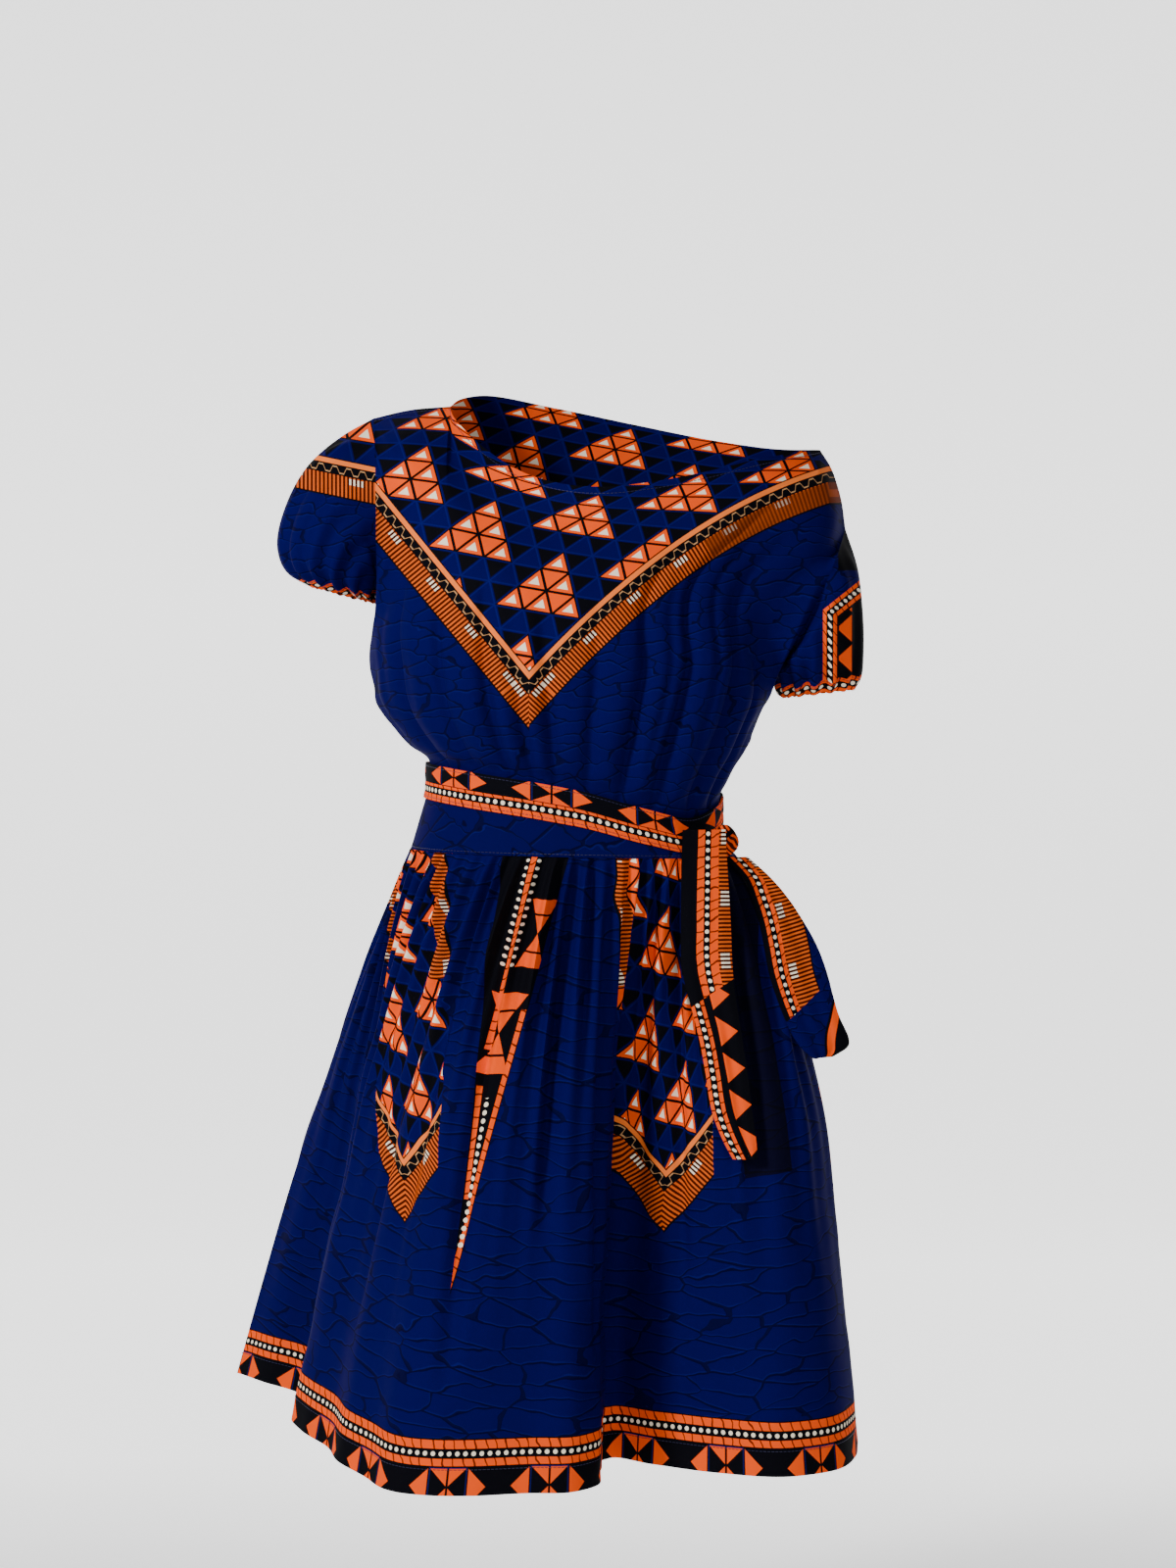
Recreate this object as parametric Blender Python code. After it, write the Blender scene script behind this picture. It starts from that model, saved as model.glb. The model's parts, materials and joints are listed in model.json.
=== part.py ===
"""A mini dress in wax-print cotton, as it hangs when it is worn: hollow, loose over the bust, tied in at
the waist with a sash, gathered below, and slipped off the wearer's left shoulder.

Metres, +Z up. The front faces -Y and +X is the wearer's left. The origin lies between the shoulders, at
the height of the shoulder that the dress hangs from. Each piece of cloth is a thin closed wall, worked out
as a grid of points across the piece (share -1 to +1, from the wearer's right to their left) and along it.
"""

from collections import namedtuple

import bmesh
import bpy
import numpy as np

# Walls and seams
CLOTH = 0.0013
SASH_CLOTH = 0.0016
SEAM_GAP = 0.0003
SLEEVE_GAP = 0.0007
SASH_CLEARANCE = 0.0007
SAME_POINT = 1e-6

# The body's middle line, a little to the wearer's right of the neck
MIDDLE = -0.0128

# The waistband's top edge and the waist seam, each a height at the middle line and its fall towards +X
BAND_TOP = -0.350
BAND_TOP_FALL = 0.125
WAIST_SEAM = -0.388
WAIST_SEAM_FALL = 0.020

# The hem, and how much higher it swings out at the wearer's right
HEM_HEIGHT = -0.905
HEM_LIFT = 0.030
HEM_LIFT_FROM = -0.15
HEM_LIFT_OVER = 0.17

# The sash
SASH_WIDTH = 0.030
SASH_COLUMNS = 64
KNOT_ANGLE = 28.0
KNOT_HEIGHT = -0.377
KNOT_SIZE = (0.030, 0.018, 0.028)
KNOT_STAND = 0.0105
KNOT_LOBE = 0.10

# How finely each wall is drawn
BODICE_COLUMNS = (13, 3, 24, 3, 13)
BODICE_ROWS = (0.0, 0.035, 0.07, 0.10, 0.14, 0.20, 0.30, 0.42, 0.54, 0.66, 0.78, 0.88, 0.94, 1.0)
GATHERS = 28
GATHER_DRIFT = 0.0032
GATHER_DRIFT_TURNS = 7
GATHER_UNEVEN = 0.38
SKIRT_ROWS = (0.0, 0.02, 0.045, 0.08, 0.13, 0.20, 0.30, 0.42, 0.56, 0.70, 0.85, 1.0)
SLEEVE_ROWS = (0.0, 0.10, 0.24, 0.40, 0.56, 0.72, 0.84, 0.93, 1.0)
TAIL_COLUMNS = 6
TAIL_ROWS = 22

# Rings round the body. Each row is a ring: how far it reaches to each side, and how square it is
Ring = namedtuple("Ring", "rise left right front back square")
TORSO = (
    Ring(-0.060, -0.1385, 0.1150, -0.0985, 0.0880, 2.2),
    Ring(0.000, -0.1385, 0.1150, -0.0985, 0.0880, 2.2),
    Ring(0.018, -0.1385, 0.1150, -0.0985, 0.0880, 2.2),
    Ring(0.026, -0.1500, 0.1190, -0.1070, 0.0935, 2.2),
    Ring(0.035, -0.1605, 0.1240, -0.1130, 0.0980, 2.2),
    Ring(0.058, -0.1775, 0.1370, -0.1240, 0.1060, 2.2),
    Ring(0.085, -0.1850, 0.1470, -0.1310, 0.1100, 2.3),
    Ring(0.112, -0.1880, 0.1600, -0.1350, 0.1120, 2.3),
    Ring(0.150, -0.1835, 0.1660, -0.1350, 0.1120, 2.4),
    Ring(0.190, -0.1760, 0.1680, -0.1270, 0.1080, 2.4),
    Ring(0.240, -0.1740, 0.1700, -0.1140, 0.1020, 2.4),
)
WAIST_RING = Ring(0.0, -0.1535, 0.1270, -0.1035, 0.0950, 2.2)

# The sash's middle line round the waist: it rises to the wearer's right and is pulled down at the knot
SashHeight = namedtuple("SashHeight", "angle height")
SASH_LINE = (
    SashHeight(0, -0.3540),
    SashHeight(22, -0.3640),
    SashHeight(43, -0.3715),
    SashHeight(65, -0.3626),
    SashHeight(93, -0.3448),
    SashHeight(128, -0.3330),
    SashHeight(180, -0.3257),
    SashHeight(230, -0.3310),
    SashHeight(270, -0.3380),
    SashHeight(315, -0.3460),
    SashHeight(360, -0.3540),
)

# The bodice's top edge. Each row is a point of the edge, and the step from it to a point just below it
Edge = namedtuple("Edge", "share x y z lean reach drop")
RIGHT_ARMHOLE = (
    Edge(-1.00, -0.1680, 0.000, -0.1600, 0.000, 0.000, 0.022),
    Edge(-0.90, -0.1790, -0.036, -0.1480, -0.001, -0.002, 0.026),
    Edge(-0.78, -0.1797, -0.056, -0.0953, 0.005, -0.010, 0.030),
    Edge(-0.66, -0.1813, -0.042, -0.0480, 0.010, -0.024, 0.032),
    Edge(-0.58, -0.1853, 0.000, -0.0138, 0.016, -0.046, 0.026),
)
RIGHT_SHOULDER = (
    Edge(-0.58, -0.1853, 0.000, -0.0138, 0.016, -0.046, 0.026),
    Edge(-0.50, -0.1530, 0.000, -0.0065, 0.002, -0.047, 0.026),
    Edge(-0.42, -0.1190, 0.000, -0.0036, 0.000, -0.046, 0.027),
)
FRONT_NECK = (
    Edge(-0.420, -0.1190, 0.000, -0.0036, 0.000, -0.046, 0.027),
    Edge(-0.374, -0.1164, -0.020, -0.0122, -0.002, -0.033, 0.028),
    Edge(-0.307, -0.1044, -0.045, -0.0278, -0.003, -0.020, 0.029),
    Edge(-0.232, -0.0829, -0.066, -0.0478, -0.002, -0.014, 0.030),
    Edge(-0.142, -0.0494, -0.083, -0.0680, 0.000, -0.010, 0.030),
    Edge(-0.069, -0.0164, -0.091, -0.0768, 0.000, -0.008, 0.030),
    Edge(0.000, 0.0164, -0.094, -0.0786, 0.000, -0.008, 0.030),
    Edge(0.069, 0.0492, -0.091, -0.0751, 0.000, -0.008, 0.030),
    Edge(0.178, 0.0989, -0.080, -0.0653, -0.002, -0.010, 0.030),
    Edge(0.274, 0.1410, -0.064, -0.0542, -0.003, -0.014, 0.030),
    Edge(0.370, 0.1761, -0.035, -0.0462, -0.004, -0.024, 0.030),
    Edge(0.460, 0.2006, 0.000, -0.0410, -0.006, -0.044, 0.028),
)
BACK_NECK = (
    Edge(-0.420, -0.1190, 0.000, -0.0036, 0.000, 0.046, 0.027),
    Edge(-0.362, -0.1120, 0.024, 0.0045, -0.002, 0.028, 0.029),
    Edge(-0.288, -0.0930, 0.050, 0.0105, -0.002, 0.018, 0.032),
    Edge(-0.133, -0.0300, 0.076, 0.0020, 0.000, 0.010, 0.032),
    Edge(0.029, 0.0400, 0.082, -0.0120, 0.000, 0.008, 0.032),
    Edge(0.193, 0.1100, 0.070, -0.0270, -0.002, 0.010, 0.032),
    Edge(0.337, 0.1650, 0.042, -0.0370, -0.004, 0.020, 0.030),
    Edge(0.460, 0.2006, 0.000, -0.0410, -0.006, 0.044, 0.028),
)
LEFT_SHOULDER = (
    Edge(0.46, 0.2006, 0.000, -0.0410, -0.006, -0.044, 0.028),
    Edge(0.52, 0.2110, 0.000, -0.0580, -0.008, -0.045, 0.024),
    Edge(0.58, 0.2190, 0.000, -0.0835, -0.010, -0.045, 0.020),
    Edge(0.64, 0.2227, 0.000, -0.1090, -0.016, -0.044, 0.018),
)
LEFT_ARMHOLE = (
    Edge(0.64, 0.2227, 0.000, -0.1090, -0.016, -0.044, 0.018),
    Edge(0.71, 0.2100, -0.052, -0.1380, -0.016, -0.012, 0.020),
    Edge(0.79, 0.1880, -0.057, -0.1870, -0.013, -0.008, 0.019),
    Edge(0.89, 0.1660, -0.039, -0.2210, -0.006, 0.000, 0.020),
    Edge(1.00, 0.1560, 0.000, -0.2340, 0.001, 0.000, 0.016),
)

# Heights of a bodice column's points: three rises above the sash, then shares of the way up to its top
NEAR_RISES = (0.018, 0.029, 0.050)
FAR_SHARES = (0.34, 0.68)
COLUMN_KNOTS = (0.0, 0.07, 0.12, 0.20, 0.44, 0.68, 0.90, 1.0)

# The soft folds that the waist draws up in the bodice. Each row is a trough
Trough = namedtuple("Trough", "share depth")
FRONT_TROUGHS = (
    Trough(-1.03, 0.0010),
    Trough(-0.88, 0.0030),
    Trough(-0.634, 0.0045),
    Trough(-0.42, 0.0035),
    Trough(-0.246, 0.0045),
    Trough(-0.143, 0.0035),
    Trough(-0.058, 0.0035),
    Trough(0.051, 0.0030),
    Trough(0.187, 0.0055),
    Trough(0.335, 0.0055),
    Trough(0.5355, 0.0055),
    Trough(0.70, 0.0040),
    Trough(0.854, 0.0035),
    Trough(1.03, 0.0010),
)
BACK_TROUGHS = (
    Trough(-1.03, 0.0010),
    Trough(-0.83, 0.0035),
    Trough(-0.62, 0.0050),
    Trough(-0.45, 0.0040),
    Trough(-0.27, 0.0050),
    Trough(-0.11, 0.0040),
    Trough(0.08, 0.0050),
    Trough(0.26, 0.0045),
    Trough(0.41, 0.0050),
    Trough(0.62, 0.0050),
    Trough(0.81, 0.0035),
    Trough(1.03, 0.0010),
)
FOLD_END = 0.06
FoldHeight = namedtuple("FoldHeight", "along part")
FOLD_HEIGHTS = (
    FoldHeight(0.0, 0.0),
    FoldHeight(0.07, 0.0),
    FoldHeight(0.13, 0.8),
    FoldHeight(0.22, 1.0),
    FoldHeight(0.38, 0.75),
    FoldHeight(0.58, 0.30),
    FoldHeight(0.80, 0.05),
    FoldHeight(1.0, 0.0),
)

# The hem seen from below. Each row is a turn of the cloth, crest or trough
Turn = namedtuple("Turn", "x y")
FRONT_HEM = (
    Turn(-0.322, 0.135),
    Turn(-0.295, 0.105),
    Turn(-0.262, 0.088),
    Turn(-0.240, 0.056),
    Turn(-0.243, 0.026),
    Turn(-0.259, -0.002),
    Turn(-0.246, -0.032),
    Turn(-0.222, -0.062),
    Turn(-0.209, -0.103),
    Turn(-0.186, -0.131),
    Turn(-0.168, -0.160),
    Turn(-0.132, -0.178),
    Turn(-0.098, -0.179),
    Turn(-0.048, -0.171),
    Turn(-0.014, -0.168),
    Turn(0.006, -0.148),
    Turn(0.010, -0.100),
    Turn(0.022, -0.056),
    Turn(0.056, -0.078),
    Turn(0.111, -0.106),
    Turn(0.166, -0.119),
    Turn(0.205, -0.100),
    Turn(0.230, -0.050),
    Turn(0.236, 0.000),
)
BACK_HEM = (
    Turn(-0.322, 0.135),
    Turn(-0.318, 0.170),
    Turn(-0.280, 0.185),
    Turn(-0.248, 0.200),
    Turn(-0.236, 0.232),
    Turn(-0.196, 0.248),
    Turn(-0.160, 0.222),
    Turn(-0.124, 0.228),
    Turn(-0.092, 0.257),
    Turn(-0.046, 0.260),
    Turn(-0.016, 0.230),
    Turn(0.024, 0.216),
    Turn(0.056, 0.240),
    Turn(0.098, 0.234),
    Turn(0.124, 0.198),
    Turn(0.156, 0.170),
    Turn(0.194, 0.160),
    Turn(0.206, 0.120),
    Turn(0.204, 0.082),
    Turn(0.233, 0.048),
    Turn(0.236, 0.000),
)

# How a skirt column travels from the waist seam to the hem: straight out at the wearer's right, and
# first puffed out and then hanging at their left. Gather is half the depth of the small folds
Fall = namedtuple("Fall", "along straight puffed gather")
FALLS = (
    Fall(0.0, 0.0, 0.0, 0.0018),
    Fall(0.02, 0.02, 0.07, 0.0027),
    Fall(0.045, 0.045, 0.14, 0.0036),
    Fall(0.08, 0.08, 0.22, 0.0044),
    Fall(0.14, 0.15, 0.335, 0.0048),
    Fall(0.20, 0.225, 0.43, 0.0044),
    Fall(0.30, 0.345, 0.57, 0.0030),
    Fall(0.45, 0.50, 0.735, 0.0014),
    Fall(0.62, 0.67, 0.82, 0.0005),
    Fall(0.80, 0.83, 0.905, 0.0),
    Fall(1.0, 1.0, 1.0, 0.0),
)
Puff = namedtuple("Puff", "share front back")
PUFFS = (
    Puff(-1.0, 0.0, 0.0),
    Puff(-0.5, 0.35, 0.35),
    Puff(0.0, 0.55, 0.50),
    Puff(0.6, 0.85, 0.70),
    Puff(1.0, 1.0, 1.0),
)

# The sleeves. Each row is a ring from the armhole to the hem: its outermost and its innermost point
# seen from the front, how deep it is, and how far its middle lies forward
Hoop = namedtuple("Hoop", "along out_x out_z in_x in_z depth forward ripple")
RIGHT_SLEEVE = (
    Hoop(0.0, -0.1853, -0.0138, -0.1680, -0.1600, 0.056, 0.0, 0.0),
    Hoop(0.16, -0.2120, -0.0300, -0.1750, -0.1610, 0.060, 0.0, 0.0012),
    Hoop(0.34, -0.2400, -0.0550, -0.1800, -0.1630, 0.063, 0.0, 0.0020),
    Hoop(0.55, -0.2600, -0.0920, -0.1830, -0.1660, 0.063, 0.0, 0.0026),
    Hoop(0.74, -0.2660, -0.1260, -0.1845, -0.1690, 0.058, 0.0, 0.0030),
    Hoop(0.87, -0.2580, -0.1455, -0.1850, -0.1710, 0.048, 0.0, 0.0034),
    Hoop(1.0, -0.2380, -0.1590, -0.1855, -0.1735, 0.036, 0.0, 0.0030),
)
LEFT_SLEEVE = (
    Hoop(0.0, 0.2227, -0.1090, 0.1560, -0.2340, 0.072, 0.0, 0.0),
    Hoop(0.22, 0.2325, -0.1430, 0.1600, -0.2385, 0.071, 0.0, 0.0010),
    Hoop(0.45, 0.2362, -0.1800, 0.1625, -0.2420, 0.066, 0.0, 0.0018),
    Hoop(0.68, 0.2365, -0.2130, 0.1640, -0.2460, 0.057, 0.0, 0.0024),
    Hoop(0.86, 0.2345, -0.2370, 0.1665, -0.2510, 0.046, 0.0, 0.0028),
    Hoop(1.0, 0.2300, -0.2480, 0.1700, -0.2550, 0.037, 0.0, 0.0026),
)
SLEEVE_GATHERS = 14
SLEEVE_ROUNDNESS = 0.85
SLEEVE_BLEND = 0.25
MITRE_LEAST = 0.95

# The sash's tails. Each row is a height: where its two edges are seen from the front
Strip = namedtuple("Strip", "height left right")
LONG_TAIL = (
    Strip(-0.3660, 0.0800, 0.1160),
    Strip(-0.4066, 0.0784, 0.1180),
    Strip(-0.4454, 0.0778, 0.1200),
    Strip(-0.4851, 0.0792, 0.1216),
    Strip(-0.5165, 0.0870, 0.1254),
    Strip(-0.5399, 0.0930, 0.1291),
    Strip(-0.5718, 0.0988, 0.1339),
    Strip(-0.6029, 0.1042, 0.1376),
    Strip(-0.6268, 0.1137, 0.1408),
    Strip(-0.6403, 0.1209, 0.1416),
)
SHORT_TAIL = (
    Strip(-0.3904, 0.1160, 0.1360),
    Strip(-0.4068, 0.1310, 0.1543),
    Strip(-0.4260, 0.1392, 0.1709),
    Strip(-0.4451, 0.1451, 0.1835),
    Strip(-0.4660, 0.1493, 0.1951),
    Strip(-0.4885, 0.1534, 0.2035),
    Strip(-0.5077, 0.1593, 0.2085),
    Strip(-0.5252, 0.1659, 0.2135),
    Strip(-0.5410, 0.1734, 0.2205),
    Strip(-0.5500, 0.1793, 0.2225),
    Strip(-0.5600, 0.1910, 0.2085),
)
TAIL_WINDOW = 0.008
TAIL_SLOPE = 0.28
TAIL_RIPPLE = 0.0012

# How far each tail stands off what it lies on, from its top to its end
Stand = namedtuple("Stand", "along long short")
TAIL_STANDS = (
    Stand(0.0, -0.0027, -0.0020),
    Stand(0.08, -0.0023, -0.0020),
    Stand(0.22, 0.0028, -0.0018),
    Stand(0.45, 0.0030, -0.0016),
    Stand(1.0, 0.0045, 0.0),
)

# The cloth's own colours: royal blue ground, and the black ground of the sash's border print
BLUE = (0.010, 0.012, 0.170, 1.0)
NIGHT_BLUE = (0.007, 0.009, 0.120, 1.0)
BLACK = (0.012, 0.010, 0.012, 1.0)
COTTON_ROUGHNESS = 0.72


def ease(part):
    """0 to 1 with level ends."""
    part = np.clip(part, 0.0, 1.0)
    return part * part * (3.0 - 2.0 * part)


def smooth(knots, values, at):
    """The values at these places on a smooth curve through the knots."""
    knots = np.asarray(knots, float)
    values = np.asarray(values, float)
    at = np.clip(np.asarray(at, float), knots[0], knots[-1])
    slopes = np.gradient(values, knots, axis=0)
    left = np.clip(np.searchsorted(knots, at, side="right") - 1, 0, len(knots) - 2)
    width = knots[left + 1] - knots[left]
    part = (at - knots[left]) / width
    shape = part.shape + (1,) * (values.ndim - 1)
    part = part.reshape(shape)
    width = width.reshape(shape)
    start = (1 + 2 * part) * (1 - part) ** 2 * values[left]
    end = part * part * (3 - 2 * part) * values[left + 1]
    leave = part * (1 - part) ** 2 * width * slopes[left]
    arrive = part * part * (part - 1) * width * slopes[left + 1]
    return start + end + leave + arrive


def column(rows, name):
    """One named column of a table."""
    return np.array([getattr(row, name) for row in rows], float)


def gathered_line(line, count):
    """Points along a line for the columns of the gathers, which drift a little closer and wider."""
    steps = np.linalg.norm(np.diff(line, axis=0), axis=1)
    length = np.concatenate([[0.0], np.cumsum(steps)]) / steps.sum()
    part = np.linspace(0.0, 1.0, count)
    part = part + GATHER_DRIFT * np.sin(2 * np.pi * GATHER_DRIFT_TURNS * part)
    return np.stack([np.interp(part, length, line[:, 0]), np.interp(part, length, line[:, 1])], axis=1)


def ring_points(left, right, front, back, square, angle):
    """Points of a rounded ring: angle 0 is the wearer's left, 90 degrees the front."""
    across = np.cos(angle)
    ahead = np.sin(angle)
    half_x = np.where(across > 0, right - MIDDLE, MIDDLE - left)
    half_y = np.where(ahead > 0, -front, back)
    x = MIDDLE + half_x * np.sign(across) * np.abs(across) ** (2.0 / square)
    y = -half_y * np.sign(ahead) * np.abs(ahead) ** (2.0 / square)
    return x, y


def torso_points(rise, angle):
    """Points of the torso's loose cover at these rises above the sash."""
    sizes = [smooth(column(TORSO, "rise"), column(TORSO, name), rise) for name in Ring._fields[1:]]
    return ring_points(*sizes, angle)


def sash_height(angle):
    """The height of the sash's middle line at an angle round the waist."""
    turned = np.mod(np.degrees(angle), 360.0)
    return smooth(column(SASH_LINE, "angle"), column(SASH_LINE, "height"), turned)


def side_angle(share, side):
    """The angle of a share of the front (side 1) or of the back (side -1)."""
    return side * np.pi / 2 * (1.0 - share)


def band_top(x):
    return BAND_TOP - BAND_TOP_FALL * (x - MIDDLE)


def waist_seam(x):
    return WAIST_SEAM - WAIST_SEAM_FALL * (x - MIDDLE)


def wave(troughs, share):
    """A row of uneven folds: 0 on a crest, and minus its depth in each trough."""
    places = column(troughs, "share")
    phase = smooth(places, np.arange(len(troughs)), share)
    depth = smooth(places, column(troughs, "depth"), share)
    return -depth * (0.5 + 0.5 * np.cos(2 * np.pi * phase))


def top_edge(pieces, share_lists, side):
    """The bodice's top edge and the line just below it, one point a column."""
    edge = []
    below = []
    for rows, shares in zip(pieces, share_lists):
        knots = column(rows, "share")
        points = np.array([[row.x, side * abs(row.y) * -1.0, row.z] for row in rows])
        steps = np.array([[row.lean, side * abs(row.reach) * -1.0, -row.drop] for row in rows])
        edge.append(smooth(knots, points, shares))
        below.append(smooth(knots, points + steps, shares))
    return np.concatenate(edge), np.concatenate(below)


def bodice_grid(side, rows=BODICE_ROWS, columns=BODICE_COLUMNS):
    """The outer points of the bodice's front (side 1) or back (side -1)."""
    neck = FRONT_NECK if side > 0 else BACK_NECK
    troughs = FRONT_TROUGHS if side > 0 else BACK_TROUGHS
    pieces = (RIGHT_ARMHOLE, RIGHT_SHOULDER, neck, LEFT_SHOULDER, LEFT_ARMHOLE)
    share_lists = []
    for number, (piece, steps) in enumerate(zip(pieces, columns)):
        shares = np.linspace(piece[0].share, piece[-1].share, steps + 1)
        share_lists.append(shares if number == len(pieces) - 1 else shares[:-1])
    shares = np.concatenate(share_lists)
    angle = side_angle(shares, side)
    edge, below = top_edge(pieces, share_lists, side)
    sash = sash_height(angle)
    start_x, start_y = torso_points(np.full_like(shares, TORSO[0].rise), angle)
    keys = [np.stack([start_x, start_y, band_top(start_x) + SEAM_GAP], axis=1)]
    rises = [np.full_like(shares, rise) for rise in NEAR_RISES]
    reach = below[:, 2] - (sash + NEAR_RISES[-1])
    rises += [NEAR_RISES[-1] + part * reach for part in FAR_SHARES]
    for rise in rises:
        x, y = torso_points(rise, angle)
        keys.append(np.stack([x, y, sash + rise], axis=1))
    keys += [below, edge]
    grid = smooth(COLUMN_KNOTS, np.array(keys), rows)
    outward = grid_normals(grid, False) * side
    part = smooth(column(FOLD_HEIGHTS, "along"), column(FOLD_HEIGHTS, "part"), rows)
    ends = ease((1.0 - np.abs(shares)) / FOLD_END)
    depth = part[:, None] * (wave(troughs, shares) * ends)[None, :]
    return grid + outward * depth[:, :, None]


def curve_through(rows):
    """A smooth line of points through a hem's turns."""
    turns = np.array([[row.x, row.y] for row in rows])
    steps = np.linalg.norm(np.diff(turns, axis=0), axis=1)
    knots = np.concatenate([[0.0], np.cumsum(steps)])
    return smooth(knots, turns, np.linspace(0.0, knots[-1], 40 * len(rows)))


def hem_points(side, count):
    """Points of the hem, one a column."""
    return gathered_line(curve_through(FRONT_HEM if side > 0 else BACK_HEM), count)


def waist_points(side, count):
    """Points of the waist seam, one a column."""
    share = np.linspace(-1.0, 1.0, 400)
    x, y = ring_points(*WAIST_RING[1:], side_angle(share, side))
    return gathered_line(np.stack([x, y], axis=1), count)


def skirt_grid(side, rows=SKIRT_ROWS, steps=2):
    """The outer points of the skirt's front or back, with `steps` columns to a gather."""
    count = steps * GATHERS + 1
    share = np.linspace(-1.0, 1.0, count)
    waist = waist_points(side, count)
    hem = hem_points(side, count)
    along = column(FALLS, "along")
    straight = smooth(along, column(FALLS, "straight"), rows)[:, None]
    puffed = smooth(along, column(FALLS, "puffed"), rows)[:, None]
    name = "front" if side > 0 else "back"
    puff = smooth(column(PUFFS, "share"), column(PUFFS, name), share)[None, :]
    flare = straight + (puffed - straight) * puff
    flat = waist[None] + (hem - waist)[None] * flare[:, :, None]
    top = waist_seam(waist[:, 0]) - SEAM_GAP
    lift = HEM_LIFT * ease((HEM_LIFT_FROM - hem[:, 0]) / HEM_LIFT_OVER)
    bottom = HEM_HEIGHT + lift
    height = top[None] + (bottom - top)[None] * np.asarray(rows)[:, None]
    grid = np.concatenate([flat, height[:, :, None]], axis=2)
    tangent = np.gradient(grid[:, :, :2], axis=1)
    tangent /= np.linalg.norm(tangent, axis=2, keepdims=True)
    outward = np.stack([tangent[:, :, 1], -tangent[:, :, 0]], axis=2) * side
    gather = smooth(along, column(FALLS, "gather"), rows)[:, None]
    ends = ease((1.0 - np.abs(share)) * GATHERS / 2)[None, :]
    uneven = 1.0 + GATHER_UNEVEN * np.sin(3.0 * np.pi * (share + side * 0.2)) * np.cos(8.0 * share)
    swing = (uneven * np.cos(np.pi * 2 * GATHERS * (share + 1) / 2))[None, :]
    grid[:, :, :2] += outward * (gather * ends * swing)[:, :, None]
    return grid


def armhole_places(shoulder, underarm):
    """The armhole as (side, column) places: from the shoulder down its front and up its back."""
    step = 1 if underarm > shoulder else -1
    down = list(range(shoulder, underarm + step, step))
    return [(0, place) for place in down] + [(1, place) for place in down[-2:0:-1]]


def loop_turns(loop, underarm):
    """Each point's turn round the armhole: 0 at the shoulder, half a turn at the underarm."""
    closed = np.concatenate([loop, loop[:1]])
    steps = np.linalg.norm(np.diff(closed, axis=0), axis=1)
    length = np.concatenate([[0.0], np.cumsum(steps)])
    knots = (0.0, length[underarm], length[-1])
    return np.interp(length[:-1], knots, (0.0, np.pi, 2 * np.pi))


def sleeve_grid(rows_table, loop, turn, rows=SLEEVE_ROWS):
    """The outer points of a sleeve: the armhole's own curve, opening out into the hoops."""
    along = column(rows_table, "along")
    hoop = {name: smooth(along, column(rows_table, name), rows)[:, None] for name in Hoop._fields[1:]}
    middle_x = (hoop["out_x"] + hoop["in_x"]) / 2
    middle_z = (hoop["out_z"] + hoop["in_z"]) / 2
    reach_x = (hoop["out_x"] - hoop["in_x"]) / 2
    reach_z = (hoop["out_z"] - hoop["in_z"]) / 2
    cos = np.cos(turn)[None, :]
    sin = np.sin(turn)[None, :]
    x = middle_x + reach_x * cos
    z = middle_z + reach_z * cos
    y = -hoop["forward"] - hoop["depth"] * np.sign(sin) * np.abs(sin) ** SLEEVE_ROUNDNESS
    grid = np.stack(np.broadcast_arrays(x, y, z), axis=2)
    blend = (1.0 - ease(np.asarray(rows) / SLEEVE_BLEND))[:, None, None]
    grid = grid + (loop - grid[0])[None] * blend
    outward = grid_normals(grid, True)
    outward *= np.sign(np.sum(outward[1, 0] * (grid[1, 0] - grid[1].mean(axis=0))))
    swing = np.cos(turn * SLEEVE_GATHERS)[None, :] * hoop["ripple"]
    return grid + outward * swing[:, :, None]


def set_in(table, walls, shoulder, underarm, sign):
    """A sleeve set into the armhole between these columns: the rims of all three share one mitre."""
    places = armhole_places(shoulder, underarm)
    (front, front_normals), (back, back_normals) = walls
    loop = np.array([(front, back)[side][-1, place] for side, place in places])
    half = len(places) // 2
    loop[0] = (front[-1, shoulder] + back[-1, shoulder]) / 2
    loop[half] = (front[-1, underarm] + back[-1, underarm]) / 2
    grid = sleeve_grid(table, loop, loop_turns(loop, half))
    normals = grid_normals(grid, True) * sign
    cloth = np.array([(front_normals, back_normals)[side][-1, place] for side, place in places])
    mitre = cloth + normals[0]
    mitre /= np.linalg.norm(mitre, axis=1, keepdims=True)
    mitre /= np.maximum(np.sum(mitre * cloth, axis=1, keepdims=True), MITRE_LEAST)
    forward = np.roll(loop, -1, axis=0) - np.roll(loop, 1, axis=0)
    apart = np.cross(forward, mitre)
    apart *= np.sign(np.sum(apart * (grid[1] - grid[0]), axis=1, keepdims=True))
    grid[0] += apart / np.linalg.norm(apart, axis=1, keepdims=True) * SLEEVE_GAP
    normals[0] = mitre
    for (side, place), rim in zip(places, mitre):
        (front_normals, back_normals)[side][-1, place] = rim
    for place, rim in ((shoulder, mitre[0]), (underarm, mitre[half])):
        back_normals[-1, place] = rim
    return grid, normals


def grid_normals(grid, closed):
    """The unit normals of a grid of points, column direction first."""
    if closed:
        across = (np.roll(grid, -1, axis=1) - np.roll(grid, 1, axis=1)) / 2
    else:
        across = np.gradient(grid, axis=1)
    along = np.gradient(grid, axis=0)
    normals = np.cross(across, along)
    size = np.linalg.norm(normals, axis=2, keepdims=True)
    return normals / np.maximum(size, 1e-12)


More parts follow.
